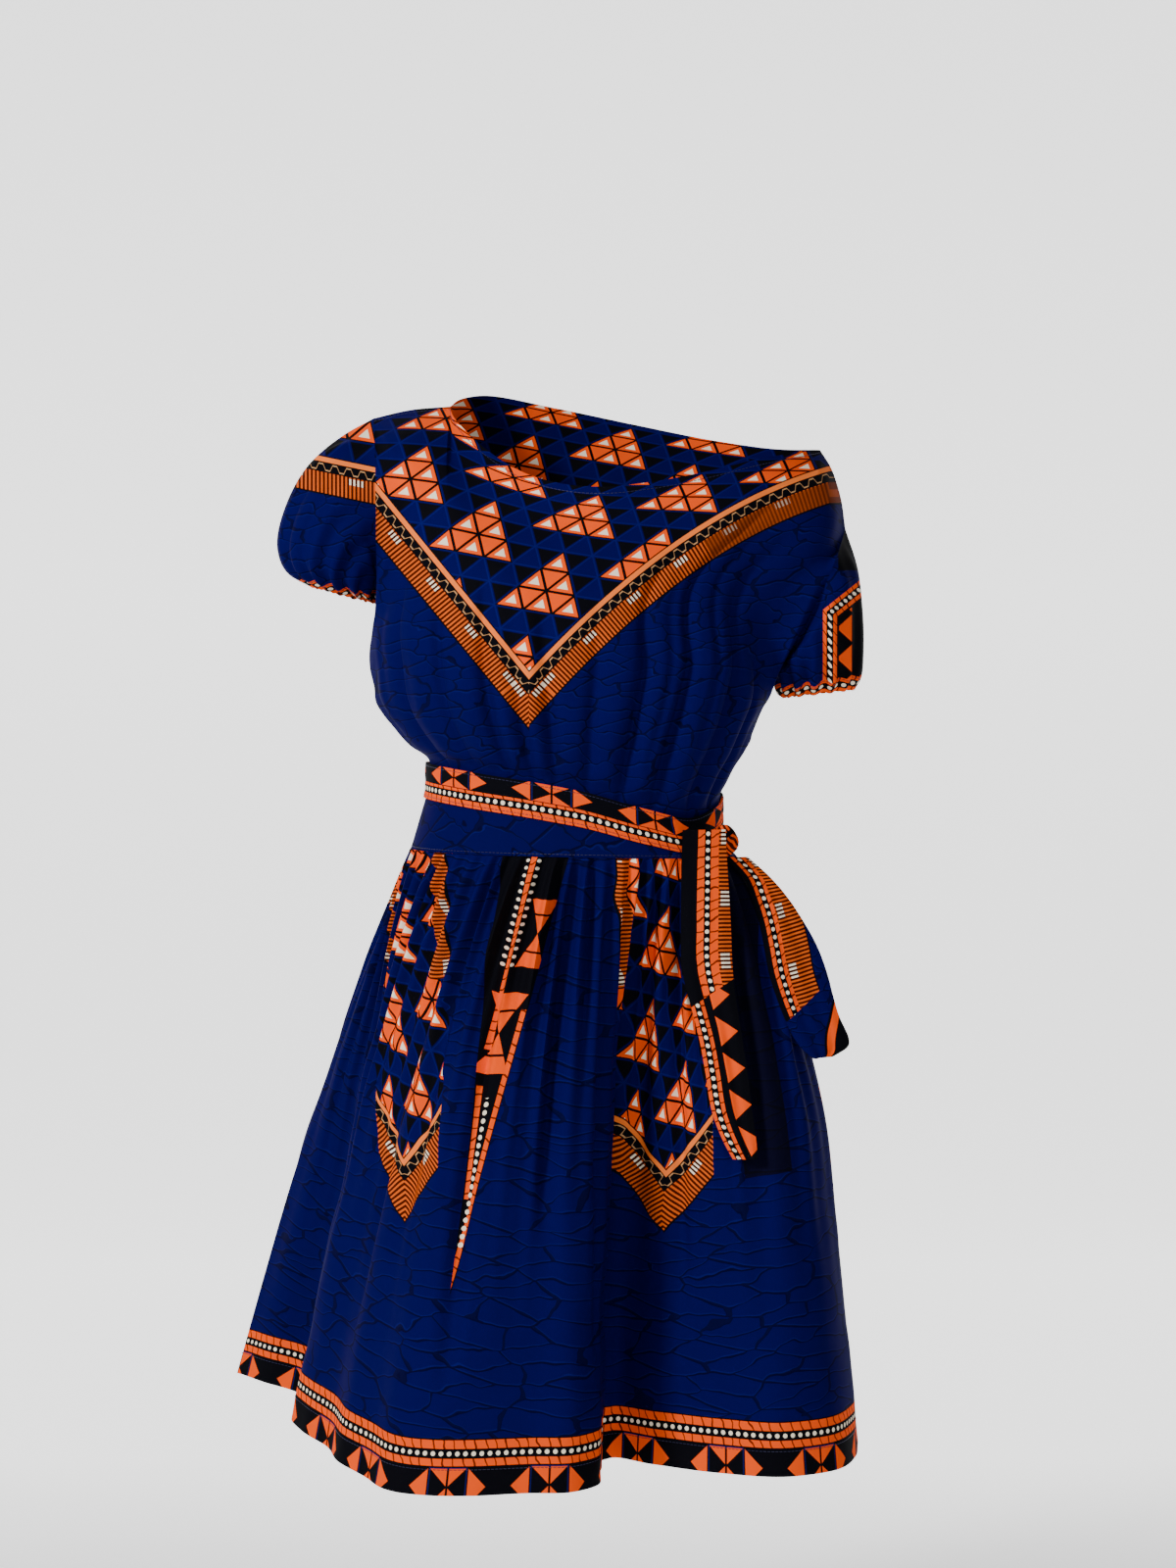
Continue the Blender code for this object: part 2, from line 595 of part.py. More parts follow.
def meet(front, back, sign):
    """A front and a back with shared seams: both grids a little apart there, and their normals, which
    are the same where the two meet, so that their rims face each other."""
    front_normals = grid_normals(front, False) * sign
    back_normals = grid_normals(back, False) * -sign
    shared = np.linalg.norm(front - back, axis=2) < SAME_POINT
    both = front_normals + back_normals
    both /= np.linalg.norm(both, axis=2, keepdims=True)
    apart = np.zeros_like(front)
    apart[:, 0] = front[:, 1] - back[:, 1]
    apart[:, -1] = front[:, -2] - back[:, -2]
    apart[-1, 1:-1] = front[-2, 1:-1] - back[-2, 1:-1]
    apart -= both * np.sum(apart * both, axis=2, keepdims=True)
    apart *= SEAM_GAP / 2 / np.maximum(np.linalg.norm(apart, axis=2, keepdims=True), SAME_POINT)
    shared = shared[:, :, None]
    moved_front = front + np.where(shared, apart, 0.0)
    moved_back = back - np.where(shared, apart, 0.0)
    front_normals = np.where(shared, both, front_normals)
    back_normals = np.where(shared, both, back_normals)
    return (moved_front, front_normals), (moved_back, back_normals)


def wall(name, grid, normals, thick, material, outward=1.0, closed=False, flat_ends=()):
    """A closed wall from its outer points: the same points moved in, and a rim all round. Both layers
    are split along the same diagonals, so that they can't cross where the wall is twisted."""
    normals = normals.copy()
    for edge in flat_ends:
        normals[edge, :, 2] = 0.0
        normals[edge] /= np.linalg.norm(normals[edge], axis=1, keepdims=True)
    inner = grid - normals * thick
    rows, columns = grid.shape[:2]
    points = np.concatenate([grid.reshape(-1, 3), inner.reshape(-1, 3)])
    half = rows * columns
    faces = []
    last = columns if closed else columns - 1
    for row in range(rows - 1):
        for place in range(last):
            after = (place + 1) % columns
            a = row * columns + place
            b = row * columns + after
            c = (row + 1) * columns + after
            d = (row + 1) * columns + place
            faces += [(a, b, c), (a, c, d)]
            faces += [(half + c, half + b, half + a), (half + d, half + c, half + a)]
    for place in range(last):
        after = (place + 1) % columns
        faces.append((half + place, half + after, after, place))
        top = (rows - 1) * columns
        faces.append((top + place, top + after, half + top + after, half + top + place))
    if not closed:
        for row in range(rows - 1):
            a = row * columns
            d = (row + 1) * columns
            faces.append((a, d, half + d, half + a))
            b = a + columns - 1
            c = d + columns - 1
            faces.append((half + b, half + c, c, b))
    if outward < 0:
        faces = [face[::-1] for face in faces]
    return solid(name, points, faces, material)


def solid(name, points, faces, material):
    """One named object from points and faces."""
    mesh = bpy.data.meshes.new(name)
    mesh.from_pydata([tuple(point) for point in points], [], faces)
    mesh.update()
    mesh.materials.append(material)
    mesh.shade_smooth()
    mesh.set_sharp_from_angle(angle=np.radians(50))
    piece = bpy.data.objects.new(name, mesh)
    bpy.context.scene.collection.objects.link(piece)
    return piece


def cotton(name, colour):
    """Plain matt cotton in one colour."""
    material = bpy.data.materials.new(name)
    material.use_nodes = True
    shader = material.node_tree.nodes["Principled BSDF"]
    shader.inputs["Base Color"].default_value = colour
    shader.inputs["Roughness"].default_value = COTTON_ROUGHNESS
    shader.inputs["Metallic"].default_value = 0.0
    return material


def make_top(blue):
    """The bodice's two halves and the sleeves set into them."""
    walls = meet(bodice_grid(1), bodice_grid(-1), 1)
    steps = np.cumsum(BODICE_COLUMNS)
    right = set_in(RIGHT_SLEEVE, walls, steps[0], 0, -1)
    left = set_in(LEFT_SLEEVE, walls, steps[-2], steps[-1], 1)
    wall("bodice_front", *walls[0], CLOTH, blue, outward=1, flat_ends=(0,))
    wall("bodice_back", *walls[1], CLOTH, blue, outward=-1, flat_ends=(0,))
    wall("sleeve_right", *right, CLOTH, blue, outward=-1, closed=True)
    wall("sleeve_left", *left, CLOTH, blue, outward=1, closed=True)


def waist_points_at(angle, height, stand):
    """Points round the waist at these heights, `stand` outside the waistband and the bodice's end."""
    top_x, top_y = ring_points(*grown(TORSO[0], stand), angle)
    seam_x, seam_y = ring_points(*grown(WAIST_RING, stand), angle)
    top = band_top(top_x)
    part = np.clip((top - height) / (top - waist_seam(seam_x)), 0.0, 1.0)
    return np.stack([top_x + (seam_x - top_x) * part, top_y + (seam_y - top_y) * part, height], axis=1)


def grown(ring, stand):
    """A ring's sizes, `stand` larger all round."""
    return ring.left - stand, ring.right + stand, ring.front - stand, ring.back + stand, ring.square


def band_grid():
    """The waistband: a ring from the waist seam up to its slanted top edge."""
    angle = np.linspace(2 * np.pi, 0.0, SASH_COLUMNS, endpoint=False)
    top = band_top(ring_points(*grown(TORSO[0], 0.0), angle)[0])
    seam = waist_seam(ring_points(*grown(WAIST_RING, 0.0), angle)[0])
    return np.array([waist_points_at(angle, seam + (top - seam) * part, 0.0) for part in (0.0, 0.5, 1.0)])


def make_waistband(dark_blue):
    band = band_grid()
    wall("waistband", band, grid_normals(band, True), CLOTH, dark_blue, closed=True, flat_ends=(0, -1))


def make_skirt(blue):
    front, back = meet(skirt_grid(1), skirt_grid(-1), -1)
    wall("skirt_front", *front, CLOTH, blue, outward=-1, flat_ends=(0,))
    wall("skirt_back", *back, CLOTH, blue, outward=1, flat_ends=(0,))


def sash_grid():
    """The sash round the waist, its middle a little proud of its edges."""
    angle = np.linspace(2 * np.pi, 0.0, SASH_COLUMNS, endpoint=False)
    rows = []
    for part, crown in ((-0.5, 0.0), (0.0, 0.0006), (0.5, 0.0)):
        stand = SASH_CLEARANCE + SASH_CLOTH + crown
        rows.append(waist_points_at(angle, sash_height(angle) + part * SASH_WIDTH, stand))
    return np.array(rows)


def make_sash(print_cloth):
    sash = sash_grid()
    wall("sash_wrap", sash, grid_normals(sash, True), SASH_CLOTH, print_cloth, closed=True)


def knot_axes():
    """The knot's middle, and the directions along the sash and away from the body there."""
    angle = np.radians([KNOT_ANGLE - 2.0, KNOT_ANGLE, KNOT_ANGLE + 2.0])
    height = np.full(3, KNOT_HEIGHT)
    before, here, after = waist_points_at(angle, height, SASH_CLEARANCE + SASH_CLOTH)
    along = (before - after) / np.linalg.norm(before - after)
    away = np.cross(along, (0.0, 0.0, 1.0))
    return here + away * KNOT_STAND, along, away


def make_knot(print_cloth):
    """The knot: a soft lump drawn in where the tails cross over it."""
    middle, along, away = knot_axes()
    sphere = bmesh.new()
    bmesh.ops.create_uvsphere(sphere, u_segments=20, v_segments=12, radius=0.5)
    for vert in sphere.verts:
        across, out, up = tuple(vert.co)
        lobes = 1.0 + KNOT_LOBE * np.cos(3.0 * np.arctan2(up, across) + 0.6)
        place = middle + along * across * KNOT_SIZE[0] * lobes + away * out * KNOT_SIZE[1]
        vert.co = place + np.array((0.0, 0.0, up * KNOT_SIZE[2] * lobes))
    sphere.normal_update()
    bmesh.ops.recalc_face_normals(sphere, faces=sphere.faces)
    mesh = bpy.data.meshes.new("sash_knot")
    sphere.to_mesh(mesh)
    sphere.free()
    mesh.materials.append(print_cloth)
    mesh.shade_smooth()
    piece = bpy.data.objects.new("sash_knot", mesh)
    bpy.context.scene.collection.objects.link(piece)


def front_at(grids, x, height):
    """How far forward the cloth reaches at this place seen from the front, or None beside it."""
    nearest = None
    for grid in grids:
        tops = grid[:, :, 2].max(axis=0)
        bottoms = grid[:, :, 2].min(axis=0)
        order = np.argsort(grid[:, 0, 2])
        here = [
            [np.interp(height, grid[order, place, 2], grid[order, place, axis]) for axis in (0, 1)]
            for place in range(grid.shape[1])
            if bottoms[place] <= height <= tops[place]
        ]
        for (x_a, y_a), (x_b, y_b) in zip(here[:-1], here[1:]):
            if (x_a - x) * (x_b - x) <= 0 and x_a != x_b:
                y = y_a + (y_b - y_a) * (x - x_a) / (x_b - x_a)
                nearest = y if nearest is None else min(nearest, y)
    return nearest


def tail_grid(table, stand_name, grids, rows=TAIL_ROWS, columns=TAIL_COLUMNS):
    """A tail that lies on the cloth behind it: its edges as seen from the front, moved forward."""
    heights = np.linspace(table[0].height, table[-1].height, rows)
    order = column(table, "height")[::-1]
    left = smooth(order, column(table, "left")[::-1], heights)
    right = smooth(order, column(table, "right")[::-1], heights)
    part = np.linspace(0.0, 1.0, columns + 1)
    x = left[:, None] + (right - left)[:, None] * part[None, :]
    y = np.zeros_like(x)
    for row, height in enumerate(heights):
        for place in range(columns + 1):
            seen = [front_at(grids, x[row, place] + side * TAIL_WINDOW, height) for side in (-1, 0, 1)]
            seen = [value for value in seen if value is not None]
            y[row, place] = min(seen) if seen else 0.0
        for place in range(1, columns + 1):
            step = x[row, place] - x[row, place - 1]
            y[row, place] = min(y[row, place], y[row, place - 1] + TAIL_SLOPE * step)
    padded = np.pad(y, ((2, 2), (0, 0)), mode="edge")
    low = np.min([padded[shift:shift + rows] for shift in range(5)], axis=0)
    padded = np.pad(low, ((2, 2), (0, 0)), mode="edge")
    low = np.mean([padded[shift:shift + rows] for shift in range(5)], axis=0)
    along = np.linspace(0.0, 1.0, rows)
    stand = smooth(column(TAIL_STANDS, "along"), column(TAIL_STANDS, stand_name), along)[:, None]
    ripple = TAIL_RIPPLE * np.sin(3 * np.pi * part)[None, :] * ease(np.linspace(0, 4, rows))[:, None]
    y = np.minimum(low, y) - stand - np.abs(ripple)
    return np.stack([x, y, np.broadcast_to(heights[:, None], x.shape)], axis=2)


def make_tails(print_cloth):
    grids = (skirt_grid(1), sash_grid(), band_grid())
    for stand_name, table in (("long", LONG_TAIL), ("short", SHORT_TAIL)):
        tail = tail_grid(table, stand_name, grids)
        normals = -grid_normals(tail, False)
        wall("sash_tail_" + stand_name, tail, normals, SASH_CLOTH, print_cloth, outward=-1)


def main():
    for old in list(bpy.data.objects):
        bpy.data.objects.remove(old, do_unlink=True)
    blue = cotton("blue_wax_print", BLUE)
    night = cotton("waistband_blue", NIGHT_BLUE)
    border = cotton("border_print", BLACK)
    make_top(blue)
    make_waistband(night)
    make_skirt(blue)
    make_sash(border)
    make_knot(border)
    make_tails(border)


main()
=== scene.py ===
# %% [markdown]
# A mini dress in printed cotton, as it hangs when it is worn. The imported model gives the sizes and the
# place of every piece; this script gives each piece its real cloth: thin, creased, gathered, sewn and
# printed. Each step has a text cell that says what the piece is on the real dress and why it is made the
# way it is, and then a short code cell that makes it.
# The front of the dress faces -Y, +X is the wearer's left, and all lengths are metres.

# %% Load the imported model
import json
from collections import namedtuple

import bmesh
import bpy
import numpy as np
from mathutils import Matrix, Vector, noise

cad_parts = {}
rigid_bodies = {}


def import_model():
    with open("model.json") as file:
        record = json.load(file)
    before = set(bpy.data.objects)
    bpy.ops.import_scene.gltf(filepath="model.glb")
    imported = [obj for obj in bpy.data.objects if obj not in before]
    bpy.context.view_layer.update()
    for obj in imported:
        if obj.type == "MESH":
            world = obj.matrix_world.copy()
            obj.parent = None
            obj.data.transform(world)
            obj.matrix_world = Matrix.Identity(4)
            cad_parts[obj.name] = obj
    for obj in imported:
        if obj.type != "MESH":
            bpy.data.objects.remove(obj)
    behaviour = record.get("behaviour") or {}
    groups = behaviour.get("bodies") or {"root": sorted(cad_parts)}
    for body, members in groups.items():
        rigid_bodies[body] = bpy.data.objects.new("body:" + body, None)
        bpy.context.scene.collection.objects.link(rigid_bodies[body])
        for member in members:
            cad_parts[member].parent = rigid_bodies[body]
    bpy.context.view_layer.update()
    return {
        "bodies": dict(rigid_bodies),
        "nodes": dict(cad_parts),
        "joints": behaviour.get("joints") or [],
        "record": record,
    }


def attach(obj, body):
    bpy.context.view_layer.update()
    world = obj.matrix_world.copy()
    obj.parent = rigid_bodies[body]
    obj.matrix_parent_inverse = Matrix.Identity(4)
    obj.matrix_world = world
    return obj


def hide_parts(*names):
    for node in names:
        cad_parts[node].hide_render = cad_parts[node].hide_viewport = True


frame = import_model()

# %% [markdown]
# The camera comes first, because the print is compared with the photograph from there. It stands 2.65 m in
# front of the dress, a little above its middle, with a long lens, so that the hem and the neck are seen with
# hardly any distortion. The lens is worked out from how many pixels of a 1600 pixel high picture a metre
# fills at one metre's distance.

# %% Camera
CAMERA_PLACE = Vector((0.0, -2.65, -0.245))
CAMERA_AIM = Vector((0.0, 0.0, -0.33))
SENSOR_HEIGHT = 24.0
PIXELS_A_METRE = 3118.0
PICTURE_HEIGHT = 1600.0


def put(name, data):
    """A new object with this data, in the scene."""
    piece = bpy.data.objects.new(name, data)
    bpy.context.scene.collection.objects.link(piece)
    return piece


def make_camera():
    data = bpy.data.cameras.new("camera")
    data.sensor_fit = "VERTICAL"
    data.sensor_height = SENSOR_HEIGHT
    data.lens = PIXELS_A_METRE / PICTURE_HEIGHT * SENSOR_HEIGHT
    camera = put("camera", data)
    camera.location = CAMERA_PLACE
    camera.rotation_euler = (CAMERA_AIM - CAMERA_PLACE).to_track_quat("-Z", "Y").to_euler()
    bpy.context.scene.camera = camera
    return camera


camera = make_camera()
print("lens", round(camera.data.lens, 2), "mm")

# %% [markdown]
# Every piece of this dress is a sheet, so one idea makes them all: a grid of points, a row for each line
# across the cloth and a column for each line down it. A few named sizes fix some rows, and smooth curves
# fill in the rest. NumPy works on the whole grid at once, which keeps the formulas short. These helpers
# draw smooth curves through a table of sizes.

# %% Smooth curves through tables
def ease(part):
    """0 to 1 with level ends."""
    part = np.clip(part, 0.0, 1.0)
    return part * part * (3.0 - 2.0 * part)


def smooth(knots, values, at):
    """The values at these places on a smooth curve through the knots."""
    knots = np.asarray(knots, float)
    values = np.asarray(values, float)
    at = np.clip(np.asarray(at, float), knots[0], knots[-1])
    slopes = np.gradient(values, knots, axis=0)
    left = np.clip(np.searchsorted(knots, at, side="right") - 1, 0, len(knots) - 2)
    width = knots[left + 1] - knots[left]
    part = (at - knots[left]) / width
    shape = part.shape + (1,) * (values.ndim - 1)
    part = part.reshape(shape)
    width = width.reshape(shape)
    start = (1 + 2 * part) * (1 - part) ** 2 * values[left]
    end = part * part * (3 - 2 * part) * values[left + 1]
    leave = part * (1 - part) ** 2 * width * slopes[left]
    arrive = part * part * (part - 1) * width * slopes[left + 1]
    return start + end + leave + arrive


def column(rows, name):
    """One named column of a table."""
    return np.array([getattr(row, name) for row in rows], float)


def on_curve(rows, key, name, at):
    """One column of a table at these places of its key column, on a smooth curve."""
    return smooth(column(rows, key), column(rows, name), at)


def lengths(points, axis=0):
    """The length run through up to each point, along one direction of a line or a grid."""
    steps = np.linalg.norm(np.diff(points, axis=axis), axis=-1)
    start = np.zeros_like(np.take(steps, [0], axis=axis))
    return np.concatenate([start, np.cumsum(steps, axis=axis)], axis=axis)


def finer(rows, steps):
    """The rows' values with `steps` even steps between each and the next."""
    rows = np.asarray(rows, float)
    places = np.linspace(0, len(rows) - 1, (len(rows) - 1) * steps + 1)
    return np.interp(places, np.arange(len(rows)), rows)


# %% [markdown]
# A sheet becomes an object when its points get a second layer just inside them and a rim all round. That
# could be a Solidify modifier; here the wall is made directly, so that both layers carry the same map of
# the flat cloth. The map is in metres on the cloth before it was sewn: a print laid on it keeps its real
# size, and bunches up where the cloth is gathered, as real print does.

# %% From a grid of points to a thin piece of cloth
CLOTH = 0.0004
SHARP_ANGLE = 60.0


def grid_normals(grid, closed):
    """The unit normals of a grid of points, column direction first."""
    if closed:
        ring = grid[:, :-1]
        across = (np.roll(ring, -1, axis=1) - np.roll(ring, 1, axis=1)) / 2
        across = np.concatenate([across, across[:, :1]], axis=1)
    else:
        across = np.gradient(grid, axis=1)
    along = np.gradient(grid, axis=0)
    normals = np.cross(across, along)
    size = np.linalg.norm(normals, axis=2, keepdims=True)
    return normals / np.maximum(size, 1e-12)


def shell(name, grid, maps, thick=CLOTH, outward=1.0, closed=False):
    """A closed thin wall. A closed ring's grid repeats its first column at the end, for its maps."""
    rows, columns = grid.shape[:2]
    kept = columns - 1 if closed else columns
    inner = grid - grid_normals(grid, closed) * outward * thick
    points = np.concatenate([grid[:, :kept].reshape(-1, 3), inner[:, :kept].reshape(-1, 3)])
    row, place = np.meshgrid(np.arange(rows - 1), np.arange(columns - 1), indexing="ij")
    row = row.ravel()
    place = place.ravel()
    square = [(row, place), (row, place + 1), (row + 1, place + 1), (row + 1, place)]
    faces = [[(0, r, p) for r, p in square], [(1, r, p) for r, p in square[::-1]]]
    edge = np.arange(columns - 1)
    for end, flip in ((0, 1), (rows - 1, -1)):
        rim = [(1, end + 0 * edge, edge), (1, end + 0 * edge, edge + 1)]
        rim += [(0, end + 0 * edge, edge + 1), (0, end + 0 * edge, edge)]
        faces.append(rim[::flip])
    if not closed:
        side = np.arange(rows - 1)
        for end, flip in ((0, 1), (columns - 1, -1)):
            rim = [(0, side, end + 0 * side), (0, side + 1, end + 0 * side)]
            rim += [(1, side + 1, end + 0 * side), (1, side, end + 0 * side)]
            faces.append(rim[::flip])
    turn = 1 if outward > 0 else -1
    corners = np.concatenate([
        np.stack([np.stack([np.broadcast_to(part, spot[1].shape) for part in spot], axis=1)
                  for spot in face][::turn], axis=1)
        for face in faces
    ])
    index = corners[:, :, 0] * rows * kept + corners[:, :, 1] * kept + corners[:, :, 2] % kept
    mesh = bpy.data.meshes.new(name)
    mesh.from_pydata(points.tolist(), [], index.tolist())
    for label, values in maps.items():
        layer = mesh.uv_layers.new(name=label)
        layer.data.foreach_set("uv", values[corners[:, :, 1], corners[:, :, 2]].reshape(-1))
    mesh.shade_smooth()
    mesh.set_sharp_from_angle(angle=np.radians(SHARP_ANGLE))
    piece = put(name, mesh)
    print(name, len(mesh.polygons), "faces")
    return piece


# %% [markdown]
# The print is placed by two maps. Cloth is the map of the flat cloth. Seen is where a point is seen from
# the front, in metres on the dress's middle plane: the yoke and the sleeve bands are placed on it, because
# that is where they can be measured. A point of the back gets the same map from behind.

# %% The map of what is seen from the front
def seen_map(grid, side=1.0):
    """Places on the middle plane, on the line from the camera (or from its like behind) to each point."""
    away = -CAMERA_PLACE.y + grid[:, :, 1] * side
    scale = -CAMERA_PLACE.y / away
    across = grid[:, :, 0] * scale
    up = CAMERA_PLACE.z + (grid[:, :, 2] - CAMERA_PLACE.z) * scale
    return np.stack([across, up], axis=2)


def cloth_map(grid, width=None):
    """Lengths on the cloth: along the middle row, or a stated width, and down each column."""
    if width is None:
        across = lengths(grid[len(grid) // 2])
        across -= across[-1] / 2
    else:
        across = np.linspace(-width / 2, width / 2, grid.shape[1])
    down = lengths(grid)
    return np.stack([np.broadcast_to(across[None], down.shape), down], axis=2)


def hem_map(grid):
    """Lengths along a piece's last row, its hem, and up from it."""
    up = lengths(grid[::-1])[::-1]
    return np.stack([np.broadcast_to(lengths(grid[-1])[None], up.shape), up], axis=2)


def edge_map(grid):
    """Lengths across a strip from the edge seen at the left, and down it."""
    return np.stack([lengths(grid, 1), lengths(grid)], axis=2)


# %% [markdown]
# Cloth is never quite smooth. Broad, shallow unevenness comes from Blender's own noise, the same each run.
# The creases that give a piece its character are listed in tables: where a trough or ridge lies,
# how wide and deep it is, and from where to where it runs.

# %% Unevenness and creases
Crease = namedtuple("Crease", "share width depth start end drift")
CREASE_FADE = 0.7
FOLD_REACH = 11
SMALL_DENT_SIZE = 0.42
SMALL_DENT_SHARE = 0.35


def unevenness(grid, size, height, seed):
    """A soft random height for each point of a grid, in broad swells with smaller dents on them."""
    swells = grid.reshape(-1, 3) / size + seed
    dents = swells / SMALL_DENT_SIZE
    values = [noise.noise(Vector(swell)) + SMALL_DENT_SHARE * noise.noise(Vector(dent))
              for swell, dent in zip(swells.tolist(), dents.tolist())]
    return np.array(values).reshape(grid.shape[:2]) * height


def evened(grid, reach):
    """The grid with its folds averaged out over `reach` columns to each side."""
    padded = np.pad(grid, ((0, 0), (reach, reach), (0, 0)), mode="edge")
    return np.mean([padded[:, step:step + grid.shape[1]] for step in range(2 * reach + 1)], axis=0)


def creased(grid, share, along, creases, outward, closed=False):
    """The grid with each crease pressed in. Drift is how far it wanders across from start to end."""
    along = np.asarray(along)[:, None]
    share = np.asarray(share)[None, :]
    depth = np.zeros((along.shape[0], share.shape[1]))
    for crease in creases:
        run = (along - crease.start) / (crease.end - crease.start)
        fade = np.sin(np.pi * np.clip(run, 0.0, 1.0)) ** CREASE_FADE
        away = (share - crease.share - crease.drift * (run - 0.5)) / crease.width
        depth += crease.depth * fade * np.exp(-away * away)
    plain = grid if closed else evened(grid, FOLD_REACH)
    return grid - grid_normals(plain, closed) * outward * depth[:, :, None]


# %% [markdown]
# The bodice keeps the hollow shape it takes when it is worn: a stack of rounded rings, each with its own
# reach to the four sides, set by the waist, the bust and the ease that the outline shows. The waist ring, the
# waistband and the sash line are sloped, as the dress has been pulled round.

# %% Rings round the body
MIDDLE = -0.0128

# The waistband's top edge and the waist seam, each a height at the middle line and its fall towards +X
BAND_TOP = -0.350
BAND_TOP_FALL = 0.125
WAIST_SEAM = -0.388
WAIST_SEAM_FALL = 0.020

SASH_WIDTH = 0.030
SEAM_GAP = 0.0003
SASH_CLEARANCE = 0.0007
SASH_CLOTH = 0.0016

Ring = namedtuple("Ring", "rise left right front back square")
TORSO = (
    Ring(-0.060, -0.1385, 0.1150, -0.0985, 0.0880, 2.2),
    Ring(0.000, -0.1385, 0.1150, -0.0985, 0.0880, 2.2),
    Ring(0.018, -0.1385, 0.1150, -0.0985, 0.0880, 2.2),
    Ring(0.026, -0.1500, 0.1190, -0.1070, 0.0935, 2.2),
    Ring(0.035, -0.1605, 0.1240, -0.1130, 0.0980, 2.2),
    Ring(0.058, -0.1775, 0.1370, -0.1240, 0.1060, 2.2),
    Ring(0.085, -0.1850, 0.1470, -0.1310, 0.1100, 2.3),
    Ring(0.112, -0.1880, 0.1600, -0.1350, 0.1120, 2.3),
    Ring(0.150, -0.1835, 0.1660, -0.1350, 0.1120, 2.4),
    Ring(0.190, -0.1760, 0.1680, -0.1270, 0.1080, 2.4),
    Ring(0.240, -0.1740, 0.1700, -0.1140, 0.1020, 2.4),
)
WAIST_RING = Ring(0.0, -0.1535, 0.1270, -0.1035, 0.0950, 2.2)

# The sash's middle line round the waist: it rises to the wearer's right and is pulled down at the knot
SashHeight = namedtuple("SashHeight", "angle height")
SASH_LINE = (
    SashHeight(0, -0.3540),
    SashHeight(22, -0.3640),
    SashHeight(43, -0.3715),
    SashHeight(65, -0.3626),
    SashHeight(93, -0.3448),
    SashHeight(128, -0.3330),
    SashHeight(180, -0.3257),
    SashHeight(230, -0.3310),
    SashHeight(270, -0.3380),
    SashHeight(315, -0.3460),
    SashHeight(360, -0.3540),
)


def ring_points(left, right, front, back, square, angle):
    """Points of a rounded ring: angle 0 is the wearer's left, 90 degrees the front."""
    across = np.cos(angle)
    ahead = np.sin(angle)
    half_x = np.where(across > 0, right - MIDDLE, MIDDLE - left)
    half_y = np.where(ahead > 0, -front, back)
    x = MIDDLE + half_x * np.sign(across) * np.abs(across) ** (2.0 / square)
    y = -half_y * np.sign(ahead) * np.abs(ahead) ** (2.0 / square)
    return x, y


def torso_points(rise, angle):
    """Points of the torso's loose cover at these rises above the sash."""
    sizes = [on_curve(TORSO, "rise", name, rise) for name in Ring._fields[1:]]
    return ring_points(*sizes, angle)


def sash_height(angle):
    """The height of the sash's middle line at an angle round the waist."""
    turned = np.mod(np.degrees(angle), 360.0)
    return on_curve(SASH_LINE, "angle", "height", turned)


def side_angle(share, side):
    """The angle of a share of the front (side 1) or of the back (side -1)."""
    return side * np.pi / 2 * (1.0 - share)


def band_top(x):
    return BAND_TOP - BAND_TOP_FALL * (x - MIDDLE)


def waist_seam(x):
    return WAIST_SEAM - WAIST_SEAM_FALL * (x - MIDDLE)


# %% [markdown]
# The bodice is a loose front and a loose back, each drawn in to the waist in soft, uneven folds. Its top
# edge runs up the armhole, over the right shoulder, along the neck, down the slipped left shoulder and down
# the other armhole. Each row of these tables is a point of that edge and the step to a point just below it,
# so the cloth leaves the edge at the right slant.

# %% The bodice's edges and folds
Edge = namedtuple("Edge", "share x y z lean reach drop")
RIGHT_ARMHOLE = (
    Edge(-1.00, -0.1680, 0.000, -0.1600, 0.000, 0.000, 0.022),
    Edge(-0.90, -0.1790, -0.036, -0.1480, -0.001, -0.002, 0.026),
    Edge(-0.78, -0.1797, -0.056, -0.0953, 0.005, -0.010, 0.030),
    Edge(-0.66, -0.1813, -0.042, -0.0480, 0.010, -0.024, 0.032),
    Edge(-0.58, -0.1853, 0.000, -0.0138, 0.016, -0.046, 0.026),
)
RIGHT_SHOULDER = (
    Edge(-0.58, -0.1853, 0.000, -0.0138, 0.016, -0.046, 0.026),
    Edge(-0.50, -0.1530, 0.000, -0.0065, 0.002, -0.047, 0.026),
    Edge(-0.42, -0.1190, 0.000, -0.0036, 0.000, -0.046, 0.027),
)
FRONT_NECK = (
    Edge(-0.420, -0.1190, 0.000, -0.0036, 0.000, -0.046, 0.027),
    Edge(-0.374, -0.1164, -0.020, -0.0122, -0.002, -0.033, 0.028),
    Edge(-0.307, -0.1044, -0.045, -0.0278, -0.003, -0.020, 0.029),
    Edge(-0.232, -0.0829, -0.066, -0.0478, -0.002, -0.014, 0.030),
    Edge(-0.142, -0.0494, -0.083, -0.0680, 0.000, -0.010, 0.030),
    Edge(-0.069, -0.0164, -0.091, -0.0768, 0.000, -0.008, 0.030),
    Edge(0.000, 0.0164, -0.094, -0.0786, 0.000, -0.008, 0.030),
    Edge(0.069, 0.0492, -0.091, -0.0751, 0.000, -0.008, 0.030),
    Edge(0.178, 0.0989, -0.080, -0.0653, -0.002, -0.010, 0.030),
    Edge(0.274, 0.1410, -0.064, -0.0542, -0.003, -0.014, 0.030),
    Edge(0.370, 0.1761, -0.035, -0.0462, -0.004, -0.024, 0.030),
    Edge(0.460, 0.2006, 0.000, -0.0410, -0.006, -0.044, 0.028),
)
